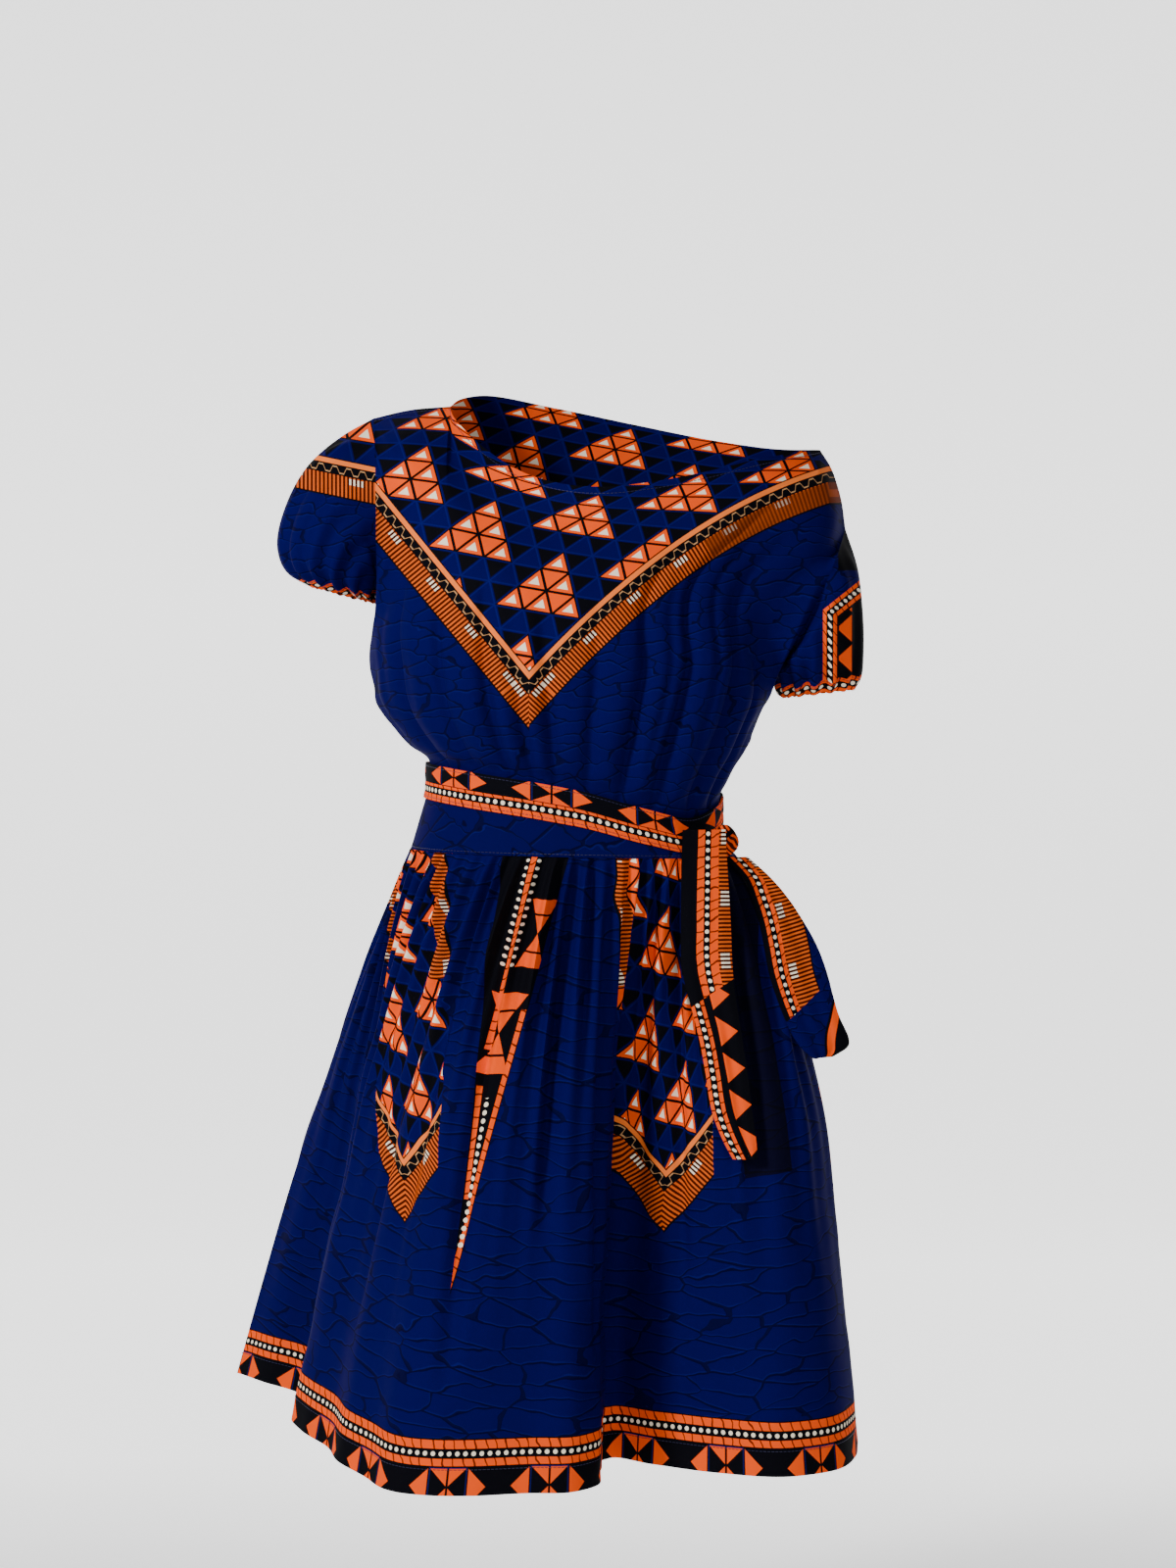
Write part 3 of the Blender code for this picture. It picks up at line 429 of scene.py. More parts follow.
BACK_NECK = (
    Edge(-0.420, -0.1190, 0.000, -0.0036, 0.000, 0.046, 0.027),
    Edge(-0.362, -0.1120, 0.024, 0.0045, -0.002, 0.028, 0.029),
    Edge(-0.288, -0.0930, 0.050, 0.0105, -0.002, 0.018, 0.032),
    Edge(-0.133, -0.0300, 0.076, 0.0020, 0.000, 0.010, 0.032),
    Edge(0.029, 0.0400, 0.082, -0.0120, 0.000, 0.008, 0.032),
    Edge(0.193, 0.1100, 0.070, -0.0270, -0.002, 0.010, 0.032),
    Edge(0.337, 0.1650, 0.042, -0.0370, -0.004, 0.020, 0.030),
    Edge(0.460, 0.2006, 0.000, -0.0410, -0.006, 0.044, 0.028),
)
LEFT_SHOULDER = (
    Edge(0.46, 0.2006, 0.000, -0.0410, -0.006, -0.044, 0.028),
    Edge(0.52, 0.2110, 0.000, -0.0580, -0.008, -0.045, 0.024),
    Edge(0.58, 0.2190, 0.000, -0.0835, -0.010, -0.045, 0.020),
    Edge(0.64, 0.2227, 0.000, -0.1090, -0.016, -0.044, 0.018),
)
LEFT_ARMHOLE = (
    Edge(0.64, 0.2227, 0.000, -0.1090, -0.016, -0.044, 0.018),
    Edge(0.71, 0.2100, -0.052, -0.1380, -0.016, -0.012, 0.020),
    Edge(0.79, 0.1880, -0.057, -0.1870, -0.013, -0.008, 0.019),
    Edge(0.89, 0.1660, -0.039, -0.2210, -0.006, 0.000, 0.020),
    Edge(1.00, 0.1560, 0.000, -0.2340, 0.001, 0.000, 0.016),
)

NEAR_RISES = (0.018, 0.029, 0.050)
FAR_SHARES = (0.34, 0.68)
COLUMN_KNOTS = (0.0, 0.07, 0.12, 0.20, 0.44, 0.68, 0.90, 1.0)

# The soft folds that the waist draws up in the bodice. Each row is a trough
Trough = namedtuple("Trough", "share depth")
FRONT_TROUGHS = (
    Trough(-1.03, 0.0010),
    Trough(-0.88, 0.0030),
    Trough(-0.634, 0.0045),
    Trough(-0.42, 0.0035),
    Trough(-0.246, 0.0045),
    Trough(-0.143, 0.0035),
    Trough(-0.058, 0.0035),
    Trough(0.051, 0.0030),
    Trough(0.187, 0.0055),
    Trough(0.335, 0.0055),
    Trough(0.5355, 0.0055),
    Trough(0.70, 0.0040),
    Trough(0.854, 0.0035),
    Trough(1.03, 0.0010),
)
BACK_TROUGHS = (
    Trough(-1.03, 0.0010),
    Trough(-0.83, 0.0035),
    Trough(-0.62, 0.0050),
    Trough(-0.45, 0.0040),
    Trough(-0.27, 0.0050),
    Trough(-0.11, 0.0040),
    Trough(0.08, 0.0050),
    Trough(0.26, 0.0045),
    Trough(0.41, 0.0050),
    Trough(0.62, 0.0050),
    Trough(0.81, 0.0035),
    Trough(1.03, 0.0010),
)
FOLD_END = 0.06
FoldHeight = namedtuple("FoldHeight", "along part")
FOLD_HEIGHTS = (
    FoldHeight(0.0, 0.0),
    FoldHeight(0.07, 0.0),
    FoldHeight(0.13, 0.8),
    FoldHeight(0.22, 1.0),
    FoldHeight(0.38, 0.75),
    FoldHeight(0.58, 0.30),
    FoldHeight(0.80, 0.05),
    FoldHeight(1.0, 0.0),
)


def wave(troughs, share):
    """A row of uneven folds: 0 on a crest, and minus its depth in each trough."""
    phase = smooth(column(troughs, "share"), np.arange(len(troughs)), share)
    depth = on_curve(troughs, "share", "depth", share)
    return -depth * (0.5 + 0.5 * np.cos(2 * np.pi * phase))


def top_edge(pieces, share_lists, side):
    """The bodice's top edge and the line just below it, one point a column."""
    edge = []
    below = []
    for rows, shares in zip(pieces, share_lists):
        knots = column(rows, "share")
        points = np.array([[row.x, side * abs(row.y) * -1.0, row.z] for row in rows])
        steps = np.array([[row.lean, side * abs(row.reach) * -1.0, -row.drop] for row in rows])
        edge.append(smooth(knots, points, shares))
        below.append(smooth(knots, points + steps, shares))
    return np.concatenate(edge), np.concatenate(below)


def edge_pieces(side):
    neck = FRONT_NECK if side > 0 else BACK_NECK
    return (RIGHT_ARMHOLE, RIGHT_SHOULDER, neck, LEFT_SHOULDER, LEFT_ARMHOLE)


def bodice_shares(side, columns):
    """The share of each bodice column, from -1 at the wearer's right to +1 at their left, by pieces."""
    lists = []
    for number, (piece, steps) in enumerate(zip(edge_pieces(side), columns)):
        part = np.linspace(piece[0].share, piece[-1].share, steps + 1)
        lists.append(part if number == len(columns) - 1 else part[:-1])
    return lists


def bodice_grid(side, rows, columns):
    """The outer points of the bodice's front (side 1) or back (side -1)."""
    troughs = FRONT_TROUGHS if side > 0 else BACK_TROUGHS
    pieces = edge_pieces(side)
    share_lists = bodice_shares(side, columns)
    shares = np.concatenate(share_lists)
    angle = side_angle(shares, side)
    edge, below = top_edge(pieces, share_lists, side)
    sash = sash_height(angle)
    start_x, start_y = torso_points(np.full_like(shares, TORSO[0].rise), angle)
    keys = [np.stack([start_x, start_y, band_top(start_x) + SEAM_GAP], axis=1)]
    rises = [np.full_like(shares, rise) for rise in NEAR_RISES]
    reach = below[:, 2] - (sash + NEAR_RISES[-1])
    rises += [NEAR_RISES[-1] + part * reach for part in FAR_SHARES]
    for rise in rises:
        x, y = torso_points(rise, angle)
        keys.append(np.stack([x, y, sash + rise], axis=1))
    keys += [below, edge]
    grid = smooth(COLUMN_KNOTS, np.array(keys), rows)
    outward = grid_normals(grid, False) * side
    part = on_curve(FOLD_HEIGHTS, "along", "part", rows)
    ends = ease((1.0 - np.abs(shares)) / FOLD_END)
    depth = part[:, None] * (wave(troughs, shares) * ends)[None, :]
    return grid + outward * depth[:, :, None]


# %% [markdown]
# The two halves are worked out from the tables at about 2 mm a face. On top of the folds that the tables
# give come listed creases: the drag lines from the shoulders and the long soft troughs that the tied
# waist draws up to the bust. The back has its own, of the same kind.

# %% Bodice
BODICE_COLUMNS = (13, 3, 24, 3, 13)
BODICE_ROWS = (0.0, 0.035, 0.07, 0.10, 0.14, 0.20, 0.30, 0.42, 0.54, 0.66, 0.78, 0.88, 0.94, 1.0)
BODICE_STEPS = 5
BODICE_FINE_ROWS = finer(BODICE_ROWS, 8)
BODICE_UNEVEN = 0.0022
BODICE_SWELL = 0.045
BODICE_SEED = 3.0
CALM_TOP = 0.2
CALM_FOOT = 0.1
FRONT_BODICE_CREASES = (
    Crease(-0.75, 0.035, 0.0018, 0.18, 0.70, -0.03),
    Crease(-0.634, 0.021, 0.0034, 0.02, 0.62, 0.00),
    Crease(-0.50, 0.035, 0.0016, 0.30, 0.92, 0.06),
    Crease(-0.42, 0.020, 0.0044, 0.02, 0.68, 0.00),
    Crease(-0.246, 0.019, 0.0056, 0.02, 0.64, 0.00),
    Crease(-0.143, 0.018, 0.0042, 0.02, 0.50, 0.00),
    Crease(-0.058, 0.018, 0.0056, 0.02, 0.62, 0.00),
    Crease(0.051, 0.018, 0.0044, 0.02, 0.66, 0.01),
    Crease(0.187, 0.019, 0.0066, 0.02, 0.80, 0.02),
    Crease(0.27, 0.018, 0.0030, 0.16, 0.70, 0.02),
    Crease(0.335, 0.020, 0.0070, 0.02, 0.86, 0.02),
    Crease(0.44, 0.020, 0.0034, 0.14, 0.76, 0.01),
    Crease(0.5355, 0.021, 0.0066, 0.02, 0.80, 0.00),
    Crease(0.70, 0.022, 0.0046, 0.02, 0.72, 0.00),
)
BACK_BODICE_CREASES = (
    Crease(-0.62, 0.035, 0.0020, 0.22, 0.85, 0.04),
    Crease(-0.36, 0.028, 0.0022, 0.20, 0.80, -0.03),
    Crease(-0.18, 0.025, 0.0018, 0.20, 0.90, 0.02),
    Crease(0.00, 0.026, 0.0022, 0.20, 0.85, -0.02),
    Crease(0.18, 0.026, 0.0020, 0.22, 0.90, 0.04),
    Crease(0.34, 0.028, 0.0022, 0.20, 0.82, 0.03),
    Crease(0.55, 0.030, 0.0020, 0.20, 0.88, -0.02),
    Crease(0.76, 0.032, 0.0018, 0.22, 0.75, 0.02),
)


def bodice_half(side, creases):
    columns = tuple(steps * BODICE_STEPS for steps in BODICE_COLUMNS)
    grid = bodice_grid(side, BODICE_FINE_ROWS, columns)
    shares = np.concatenate(bodice_shares(side, columns))
    grid = creased(grid, shares, BODICE_FINE_ROWS, creases, side)
    fade = ease((1.0 - BODICE_FINE_ROWS) / CALM_TOP) * ease((BODICE_FINE_ROWS - CALM_FOOT) / CALM_FOOT)
    soft = unevenness(grid, BODICE_SWELL, BODICE_UNEVEN, BODICE_SEED + side) * fade[:, None]
    return grid + grid_normals(evened(grid, FOLD_REACH), False) * soft[:, :, None] * side


# The gathers at the neck draw the print up, most at the edge
NECK_DRAW = 0.040
NECK_DRAW_FADE = 0.028


def neck_map(seen, first, last):
    """What is seen, with the print drawn up to the neck edge between two columns."""
    edge = seen[-1, first:last]
    order = np.argsort(edge[:, 0])
    height = np.interp(seen[:, :, 0], edge[order, 0], edge[order, 1])
    below = np.clip(height - seen[:, :, 1], 0.0, None)
    drawn = seen[:, :, 1] + NECK_DRAW * np.exp(-below / NECK_DRAW_FADE)
    return np.stack([seen[:, :, 0], drawn], axis=2)


def bodice_maps(side):
    seen = seen_map(bodice[side], side)
    first = BODICE_COLUMNS[0] * BODICE_STEPS
    last = first + sum(BODICE_COLUMNS[1:4]) * BODICE_STEPS
    return {"Cloth": cloth_map(bodice[side]), "Seen": seen, "Print": neck_map(seen, first, last)}


bodice = {1: bodice_half(1, FRONT_BODICE_CREASES), -1: bodice_half(-1, BACK_BODICE_CREASES)}
bodice_front = shell("bodice_front_cloth", bodice[1], bodice_maps(1), outward=1)
bodice_back = shell("bodice_back_cloth", bodice[-1], bodice_maps(-1), outward=-1)

# %% [markdown]
# A puff sleeve is a tube sewn into the armhole, blown out a little and drawn in again at its hem. Its first
# ring is the armhole's own edge, so the seam closes, and the rest are rounded hoops. Small gathers run down
# it, deepest at the hem.

# %% Sleeves
Hoop = namedtuple("Hoop", "along out_x out_z in_x in_z depth forward ripple")
RIGHT_SLEEVE = (
    Hoop(0.0, -0.1853, -0.0138, -0.1680, -0.1600, 0.056, 0.0, 0.0),
    Hoop(0.16, -0.2120, -0.0300, -0.1750, -0.1610, 0.060, 0.0, 0.0012),
    Hoop(0.34, -0.2400, -0.0550, -0.1800, -0.1630, 0.063, 0.0, 0.0020),
    Hoop(0.55, -0.2600, -0.0920, -0.1830, -0.1660, 0.063, 0.0, 0.0026),
    Hoop(0.74, -0.2660, -0.1260, -0.1845, -0.1690, 0.058, 0.0, 0.0030),
    Hoop(0.87, -0.2580, -0.1455, -0.1850, -0.1710, 0.048, 0.0, 0.0034),
    Hoop(1.0, -0.2380, -0.1590, -0.1855, -0.1735, 0.036, 0.0, 0.0030),
)
LEFT_SLEEVE = (
    Hoop(0.0, 0.2227, -0.1090, 0.1560, -0.2340, 0.072, 0.0, 0.0),
    Hoop(0.22, 0.2325, -0.1430, 0.1600, -0.2385, 0.071, 0.0, 0.0010),
    Hoop(0.45, 0.2362, -0.1800, 0.1625, -0.2420, 0.066, 0.0, 0.0018),
    Hoop(0.68, 0.2365, -0.2130, 0.1640, -0.2460, 0.057, 0.0, 0.0024),
    Hoop(0.86, 0.2345, -0.2370, 0.1665, -0.2510, 0.046, 0.0, 0.0028),
    Hoop(1.0, 0.2300, -0.2480, 0.1700, -0.2550, 0.037, 0.0, 0.0026),
)
SLEEVE_GATHERS = 14
SLEEVE_ROUNDNESS = 0.85
SLEEVE_BLEND = 0.25
CUFF_CALM = 0.5
CUFF_CALM_FROM = 0.80


def armhole_places(shoulder, underarm):
    """The armhole as (side, column) places: from the shoulder down its front and up its back."""
    step = 1 if underarm > shoulder else -1
    down = list(range(shoulder, underarm + step, step))
    return [(0, place) for place in down] + [(1, place) for place in down[-2:0:-1]]


def loop_turns(loop, underarm):
    """Each point's turn round the armhole: 0 at the shoulder, half a turn at the underarm."""
    length = lengths(np.concatenate([loop, loop[:1]]))
    knots = (0.0, length[underarm], length[-1])
    return np.interp(length[:-1], knots, (0.0, np.pi, 2 * np.pi))


def sleeve_grid(rows_table, loop, turn, rows):
    """The outer points of a sleeve: the armhole's own curve, opening out into the hoops."""
    hoop = {name: on_curve(rows_table, "along", name, rows)[:, None] for name in Hoop._fields[1:]}
    middle_x = (hoop["out_x"] + hoop["in_x"]) / 2
    middle_z = (hoop["out_z"] + hoop["in_z"]) / 2
    reach_x = (hoop["out_x"] - hoop["in_x"]) / 2
    reach_z = (hoop["out_z"] - hoop["in_z"]) / 2
    cos = np.cos(turn)[None, :]
    sin = np.sin(turn)[None, :]
    x = middle_x + reach_x * cos
    z = middle_z + reach_z * cos
    y = -hoop["forward"] - hoop["depth"] * np.sign(sin) * np.abs(sin) ** SLEEVE_ROUNDNESS
    grid = np.stack(np.broadcast_arrays(x, y, z), axis=2)
    blend = (1.0 - ease(np.asarray(rows) / SLEEVE_BLEND))[:, None, None]
    grid = grid + (loop - grid[0])[None] * blend
    outward = grid_normals(grid, True)
    outward *= np.sign(np.sum(outward[1, 0] * (grid[1, 0] - grid[1].mean(axis=0))))
    calm = 1.0 - CUFF_CALM * ease((np.asarray(rows) - CUFF_CALM_FROM) / (1.0 - CUFF_CALM_FROM))
    swing = np.cos(turn * SLEEVE_GATHERS)[None, :] * hoop["ripple"] * calm[:, None]
    return grid + outward * swing[:, :, None]


SLEEVE_FINE_ROWS = finer((0.0, 0.03, 0.08, 0.16, 0.28, 0.42, 0.56, 0.70, 0.82, 0.92, 1.0), 5)
SLEEVE_CREASES = (
    Crease(0.10, 0.012, 0.0014, 0.20, 1.0, 0.01),
    Crease(0.17, 0.010, 0.0018, 0.45, 1.05, -0.01),
    Crease(0.24, 0.012, 0.0018, 0.35, 1.05, 0.01),
    Crease(0.33, 0.012, 0.0014, 0.50, 1.05, 0.0),
    Crease(0.42, 0.012, 0.0014, 0.30, 1.05, -0.01),
    Crease(0.56, 0.012, 0.0014, 0.30, 1.05, 0.01),
    Crease(0.68, 0.012, 0.0018, 0.40, 1.05, 0.0),
    Crease(0.78, 0.012, 0.0014, 0.35, 1.05, 0.01),
    Crease(0.90, 0.012, 0.0016, 0.45, 1.05, -0.01),
)


def sleeve(name, table, shoulder, underarm, outward):
    places = armhole_places(shoulder, underarm)
    loop = np.array([bodice[1 if half == 0 else -1][-1, place] for half, place in places])
    middle = len(places) // 2
    grid = sleeve_grid(table, loop, loop_turns(loop, middle), SLEEVE_FINE_ROWS)
    grid = np.concatenate([grid, grid[:, :1]], axis=1)
    share = np.linspace(0.0, 1.0, grid.shape[1])
    grid = creased(grid, share, SLEEVE_FINE_ROWS, SLEEVE_CREASES, outward, closed=True)
    maps = {"Cloth": cloth_map(grid), "Seen": seen_map(grid), "Hem": hem_map(grid)}
    return shell(name, grid, maps, outward=outward, closed=True), grid


shoulder_right = BODICE_COLUMNS[0] * BODICE_STEPS
last_column = sum(BODICE_COLUMNS) * BODICE_STEPS
shoulder_left = last_column - BODICE_COLUMNS[-1] * BODICE_STEPS
sleeve_right, right_grid = sleeve("sleeve_right_cloth", RIGHT_SLEEVE, shoulder_right, 0, -1)
sleeve_left, left_grid = sleeve("sleeve_left_cloth", LEFT_SLEEVE, shoulder_left, last_column, 1)

# %% [markdown]
# The waistband is a smooth strip, and the sash lies over its upper edge and the foot of the bodice. Both
# are rings worked out from the waist's own sizes. The sash is folded cloth, so it is a little proud along
# its middle and has two soft pleats along it.

# %% Waistband and sash
SASH_FINE_COLUMNS = 256
SASH_PLEAT = 0.0005
SASH_CROWN = 0.0006
SASH_WANDER = 0.8


def waist_points_at(angle, height, stand):
    """Points round the waist at these heights, `stand` outside the waistband and the bodice's end."""
    top_x, top_y = ring_points(*grown(TORSO[0], stand), angle)
    seam_x, seam_y = ring_points(*grown(WAIST_RING, stand), angle)
    top = band_top(top_x)
    part = np.clip((top - height) / (top - waist_seam(seam_x)), 0.0, 1.0)
    return np.stack([top_x + (seam_x - top_x) * part, top_y + (seam_y - top_y) * part, height], axis=1)


def grown(ring, stand):
    """A ring's sizes, `stand` larger all round."""
    return ring.left - stand, ring.right + stand, ring.front - stand, ring.back + stand, ring.square


def ring_angles():
    return np.linspace(2 * np.pi, 0.0, SASH_FINE_COLUMNS + 1)


def band_grid(rows=12):
    """The waistband: a ring from the waist seam up to its slanted top edge."""
    angle = ring_angles()
    top = band_top(ring_points(*grown(TORSO[0], 0.0), angle)[0])
    seam = waist_seam(ring_points(*grown(WAIST_RING, 0.0), angle)[0])
    parts = np.linspace(0.0, 1.0, rows)
    return np.array([waist_points_at(angle, seam + (top - seam) * part, 0.0) for part in parts])


def sash_grid(rows=17):
    """The sash round the waist, its middle a little proud of its edges."""
    angle = ring_angles()
    lines = []
    for part in np.linspace(-0.5, 0.5, rows):
        crown = SASH_CROWN * (1.0 - (2 * part) ** 2)
        wander = SASH_WANDER * np.sin(3 * angle)
        pleat = SASH_PLEAT * np.cos(4 * np.pi * part + wander) * (1.0 - 2 * abs(part))
        stand = SASH_CLEARANCE + SASH_CLOTH + crown - pleat.clip(0.0)
        lines.append(waist_points_at(angle, sash_height(angle) + part * SASH_WIDTH, stand))
    return np.array(lines)


band = band_grid()
waistband = shell("waistband_cloth", band, {"Cloth": cloth_map(band), "Seen": seen_map(band)}, closed=True)
sash = sash_grid()
sash_wrap = shell("sash_wrap_cloth", sash, {"Cloth": cloth_map(sash), "Seen": seen_map(sash)},
                  thick=SASH_CLOTH, closed=True)

# %% [markdown]
# The skirt is two straight panels, gathered into the waistband. A column of points hangs from each place of
# the waist seam to its place on the hem, whose turns were read off the photograph one by one. The gathers
# are a wave that is deepest a little below the seam and dies out by the thigh; larger folds run on to the
# hem. The map is the flat panel, so its print bunches up at the waist.

# %% Skirt
# The hem, and how much higher it swings out at the wearer's right
HEM_HEIGHT = -0.905
HEM_LIFT = 0.030
HEM_LIFT_FROM = -0.15
HEM_LIFT_OVER = 0.17

GATHERS = 28
GATHER_DRIFT = 0.0032
GATHER_DRIFT_TURNS = 7
GATHER_UNEVEN = 0.38
GATHER_SWELL = 3.0
GATHER_SWELL_SHIFT = 0.2
GATHER_FADE = 8.0
HEM_POINTS = 40
WAIST_POINTS = 400
SKIRT_ROWS = (0.0, 0.02, 0.045, 0.08, 0.13, 0.20, 0.30, 0.42, 0.56, 0.70, 0.85, 1.0)
Turn = namedtuple("Turn", "x y")
FRONT_HEM = (
    Turn(-0.322, 0.135),
    Turn(-0.295, 0.105),
    Turn(-0.262, 0.088),
    Turn(-0.240, 0.056),
    Turn(-0.243, 0.026),
    Turn(-0.259, -0.002),
    Turn(-0.246, -0.032),
    Turn(-0.222, -0.062),
    Turn(-0.209, -0.103),
    Turn(-0.186, -0.131),
    Turn(-0.168, -0.160),
    Turn(-0.132, -0.178),
    Turn(-0.098, -0.179),
    Turn(-0.048, -0.171),
    Turn(-0.014, -0.168),
    Turn(0.006, -0.148),
    Turn(0.010, -0.100),
    Turn(0.022, -0.056),
    Turn(0.056, -0.078),
    Turn(0.111, -0.106),
    Turn(0.166, -0.119),
    Turn(0.205, -0.100),
    Turn(0.230, -0.050),
    Turn(0.236, 0.000),
)
BACK_HEM = (
    Turn(-0.322, 0.135),
    Turn(-0.318, 0.170),
    Turn(-0.280, 0.185),
    Turn(-0.248, 0.200),
    Turn(-0.236, 0.232),
    Turn(-0.196, 0.248),
    Turn(-0.160, 0.222),
    Turn(-0.124, 0.228),
    Turn(-0.092, 0.257),
    Turn(-0.046, 0.260),
    Turn(-0.016, 0.230),
    Turn(0.024, 0.216),
    Turn(0.056, 0.240),
    Turn(0.098, 0.234),
    Turn(0.124, 0.198),
    Turn(0.156, 0.170),
    Turn(0.194, 0.160),
    Turn(0.206, 0.120),
    Turn(0.204, 0.082),
    Turn(0.233, 0.048),
    Turn(0.236, 0.000),
)

# How a skirt column travels from the waist seam to the hem: straight out at the wearer's right, and
# first puffed out and then hanging at their left. Gather is half the depth of the small folds
Fall = namedtuple("Fall", "along straight puffed gather")
FALLS = (
    Fall(0.0, 0.0, 0.0, 0.0018),
    Fall(0.02, 0.02, 0.07, 0.0027),
    Fall(0.045, 0.045, 0.14, 0.0036),
    Fall(0.08, 0.08, 0.22, 0.0044),
    Fall(0.14, 0.15, 0.335, 0.0048),
    Fall(0.20, 0.225, 0.43, 0.0044),
    Fall(0.30, 0.345, 0.57, 0.0030),
    Fall(0.45, 0.50, 0.735, 0.0014),
    Fall(0.62, 0.67, 0.82, 0.0005),
    Fall(0.80, 0.83, 0.905, 0.0),
    Fall(1.0, 1.0, 1.0, 0.0),
)
Puff = namedtuple("Puff", "share front back")
PUFFS = (
    Puff(-1.0, 0.0, 0.0),
    Puff(-0.5, 0.35, 0.35),
    Puff(0.0, 0.55, 0.50),
    Puff(0.6, 0.85, 0.70),
    Puff(1.0, 1.0, 1.0),
)


def gathered_line(line, count):
    """Points along a line for the columns of the gathers, which drift a little closer and wider."""
    length = lengths(line)
    length /= length[-1]
    part = np.linspace(0.0, 1.0, count)
    part = part + GATHER_DRIFT * np.sin(2 * np.pi * GATHER_DRIFT_TURNS * part)
    return np.stack([np.interp(part, length, line[:, 0]), np.interp(part, length, line[:, 1])], axis=1)


def curve_through(rows):
    """A smooth line of points through a hem's turns."""
    turns = np.array([[row.x, row.y] for row in rows])
    knots = lengths(turns)
    return smooth(knots, turns, np.linspace(0.0, knots[-1], HEM_POINTS * len(rows)))


def hem_points(side, count):
    """Points of the hem, one a column."""
    return gathered_line(curve_through(FRONT_HEM if side > 0 else BACK_HEM), count)


def waist_points(side, count):
    """Points of the waist seam, one a column."""
    share = np.linspace(-1.0, 1.0, WAIST_POINTS)
    x, y = ring_points(*WAIST_RING[1:], side_angle(share, side))
    return gathered_line(np.stack([x, y], axis=1), count)


def skirt_grid(side, rows, steps):
    """The outer points of the skirt's front or back, with `steps` columns to a gather."""
    count = steps * GATHERS + 1
    share = np.linspace(-1.0, 1.0, count)
    waist = waist_points(side, count)
    hem = hem_points(side, count)
    straight = on_curve(FALLS, "along", "straight", rows)[:, None]
    puffed = on_curve(FALLS, "along", "puffed", rows)[:, None]
    puff = on_curve(PUFFS, "share", "front" if side > 0 else "back", share)[None, :]
    flare = straight + (puffed - straight) * puff
    flat = waist[None] + (hem - waist)[None] * flare[:, :, None]
    top = waist_seam(waist[:, 0]) - SEAM_GAP
    lift = HEM_LIFT * ease((HEM_LIFT_FROM - hem[:, 0]) / HEM_LIFT_OVER)
    bottom = HEM_HEIGHT + lift
    height = top[None] + (bottom - top)[None] * np.asarray(rows)[:, None]
    grid = np.concatenate([flat, height[:, :, None]], axis=2)
    tangent = np.gradient(grid[:, :, :2], axis=1)
    tangent /= np.linalg.norm(tangent, axis=2, keepdims=True)
    outward = np.stack([tangent[:, :, 1], -tangent[:, :, 0]], axis=2) * side
    gather = on_curve(FALLS, "along", "gather", rows)[:, None]
    ends = ease((1.0 - np.abs(share)) * GATHERS / 2)[None, :]
    swell = np.sin(GATHER_SWELL * np.pi * (share + side * GATHER_SWELL_SHIFT))
    uneven = 1.0 + GATHER_UNEVEN * swell * np.cos(GATHER_FADE * share)
    swing = (uneven * np.cos(np.pi * 2 * GATHERS * (share + 1) / 2))[None, :]
    grid[:, :, :2] += outward * (gather * ends * swing)[:, :, None]
    return grid


SKIRT_STEPS = 11
SKIRT_FINE_ROWS = finer(SKIRT_ROWS, 11)
PANEL_WIDTH = 0.86
SMALL_GATHER = 0.34
SMALL_GATHER_RATE = 1.62
SMALL_GATHER_DRIFT = 0.9
SMALL_GATHER_DRIFT_RATE = 9.0
SKIRT_UNEVEN = 0.0032
SKIRT_SWELL = 0.09
SKIRT_SEED = 11.0
SKIRT_CALM = 0.1
SKIRT_CALM_OVER = 0.3
FRONT_SKIRT_CREASES = (
    Crease(-0.62, 0.030, 0.0060, 0.10, 0.95, -0.02),
    Crease(-0.42, 0.020, 0.0080, 0.05, 0.80, -0.02),
    Crease(-0.29, 0.018, 0.0070, 0.04, 0.60, -0.01),
    Crease(-0.15, 0.019, 0.0140, 0.04, 0.85, 0.01),
    Crease(0.02, 0.018, 0.0100, 0.04, 0.60, 0.02),
    Crease(0.16, 0.020, 0.0090, 0.04, 0.85, 0.02),
    Crease(0.31, 0.022, 0.0165, 0.08, 1.05, 0.02),
    Crease(0.48, 0.018, 0.0090, 0.04, 0.75, 0.02),
    Crease(0.66, 0.030, 0.0060, 0.06, 0.80, 0.02),
)
BACK_SKIRT_CREASES = (
    Crease(-0.70, 0.030, 0.0060, 0.08, 0.90, -0.02),
    Crease(-0.45, 0.024, 0.0050, 0.06, 0.75, 0.02),
    Crease(-0.20, 0.024, 0.0060, 0.06, 0.85, -0.02),
    Crease(0.05, 0.022, 0.0050, 0.06, 0.65, 0.02),
    Crease(0.28, 0.024, 0.0060, 0.06, 0.85, 0.01),
    Crease(0.55, 0.026, 0.0055, 0.06, 0.75, 0.02),
    Crease(0.78, 0.026, 0.0050, 0.08, 0.85, 0.01),
)


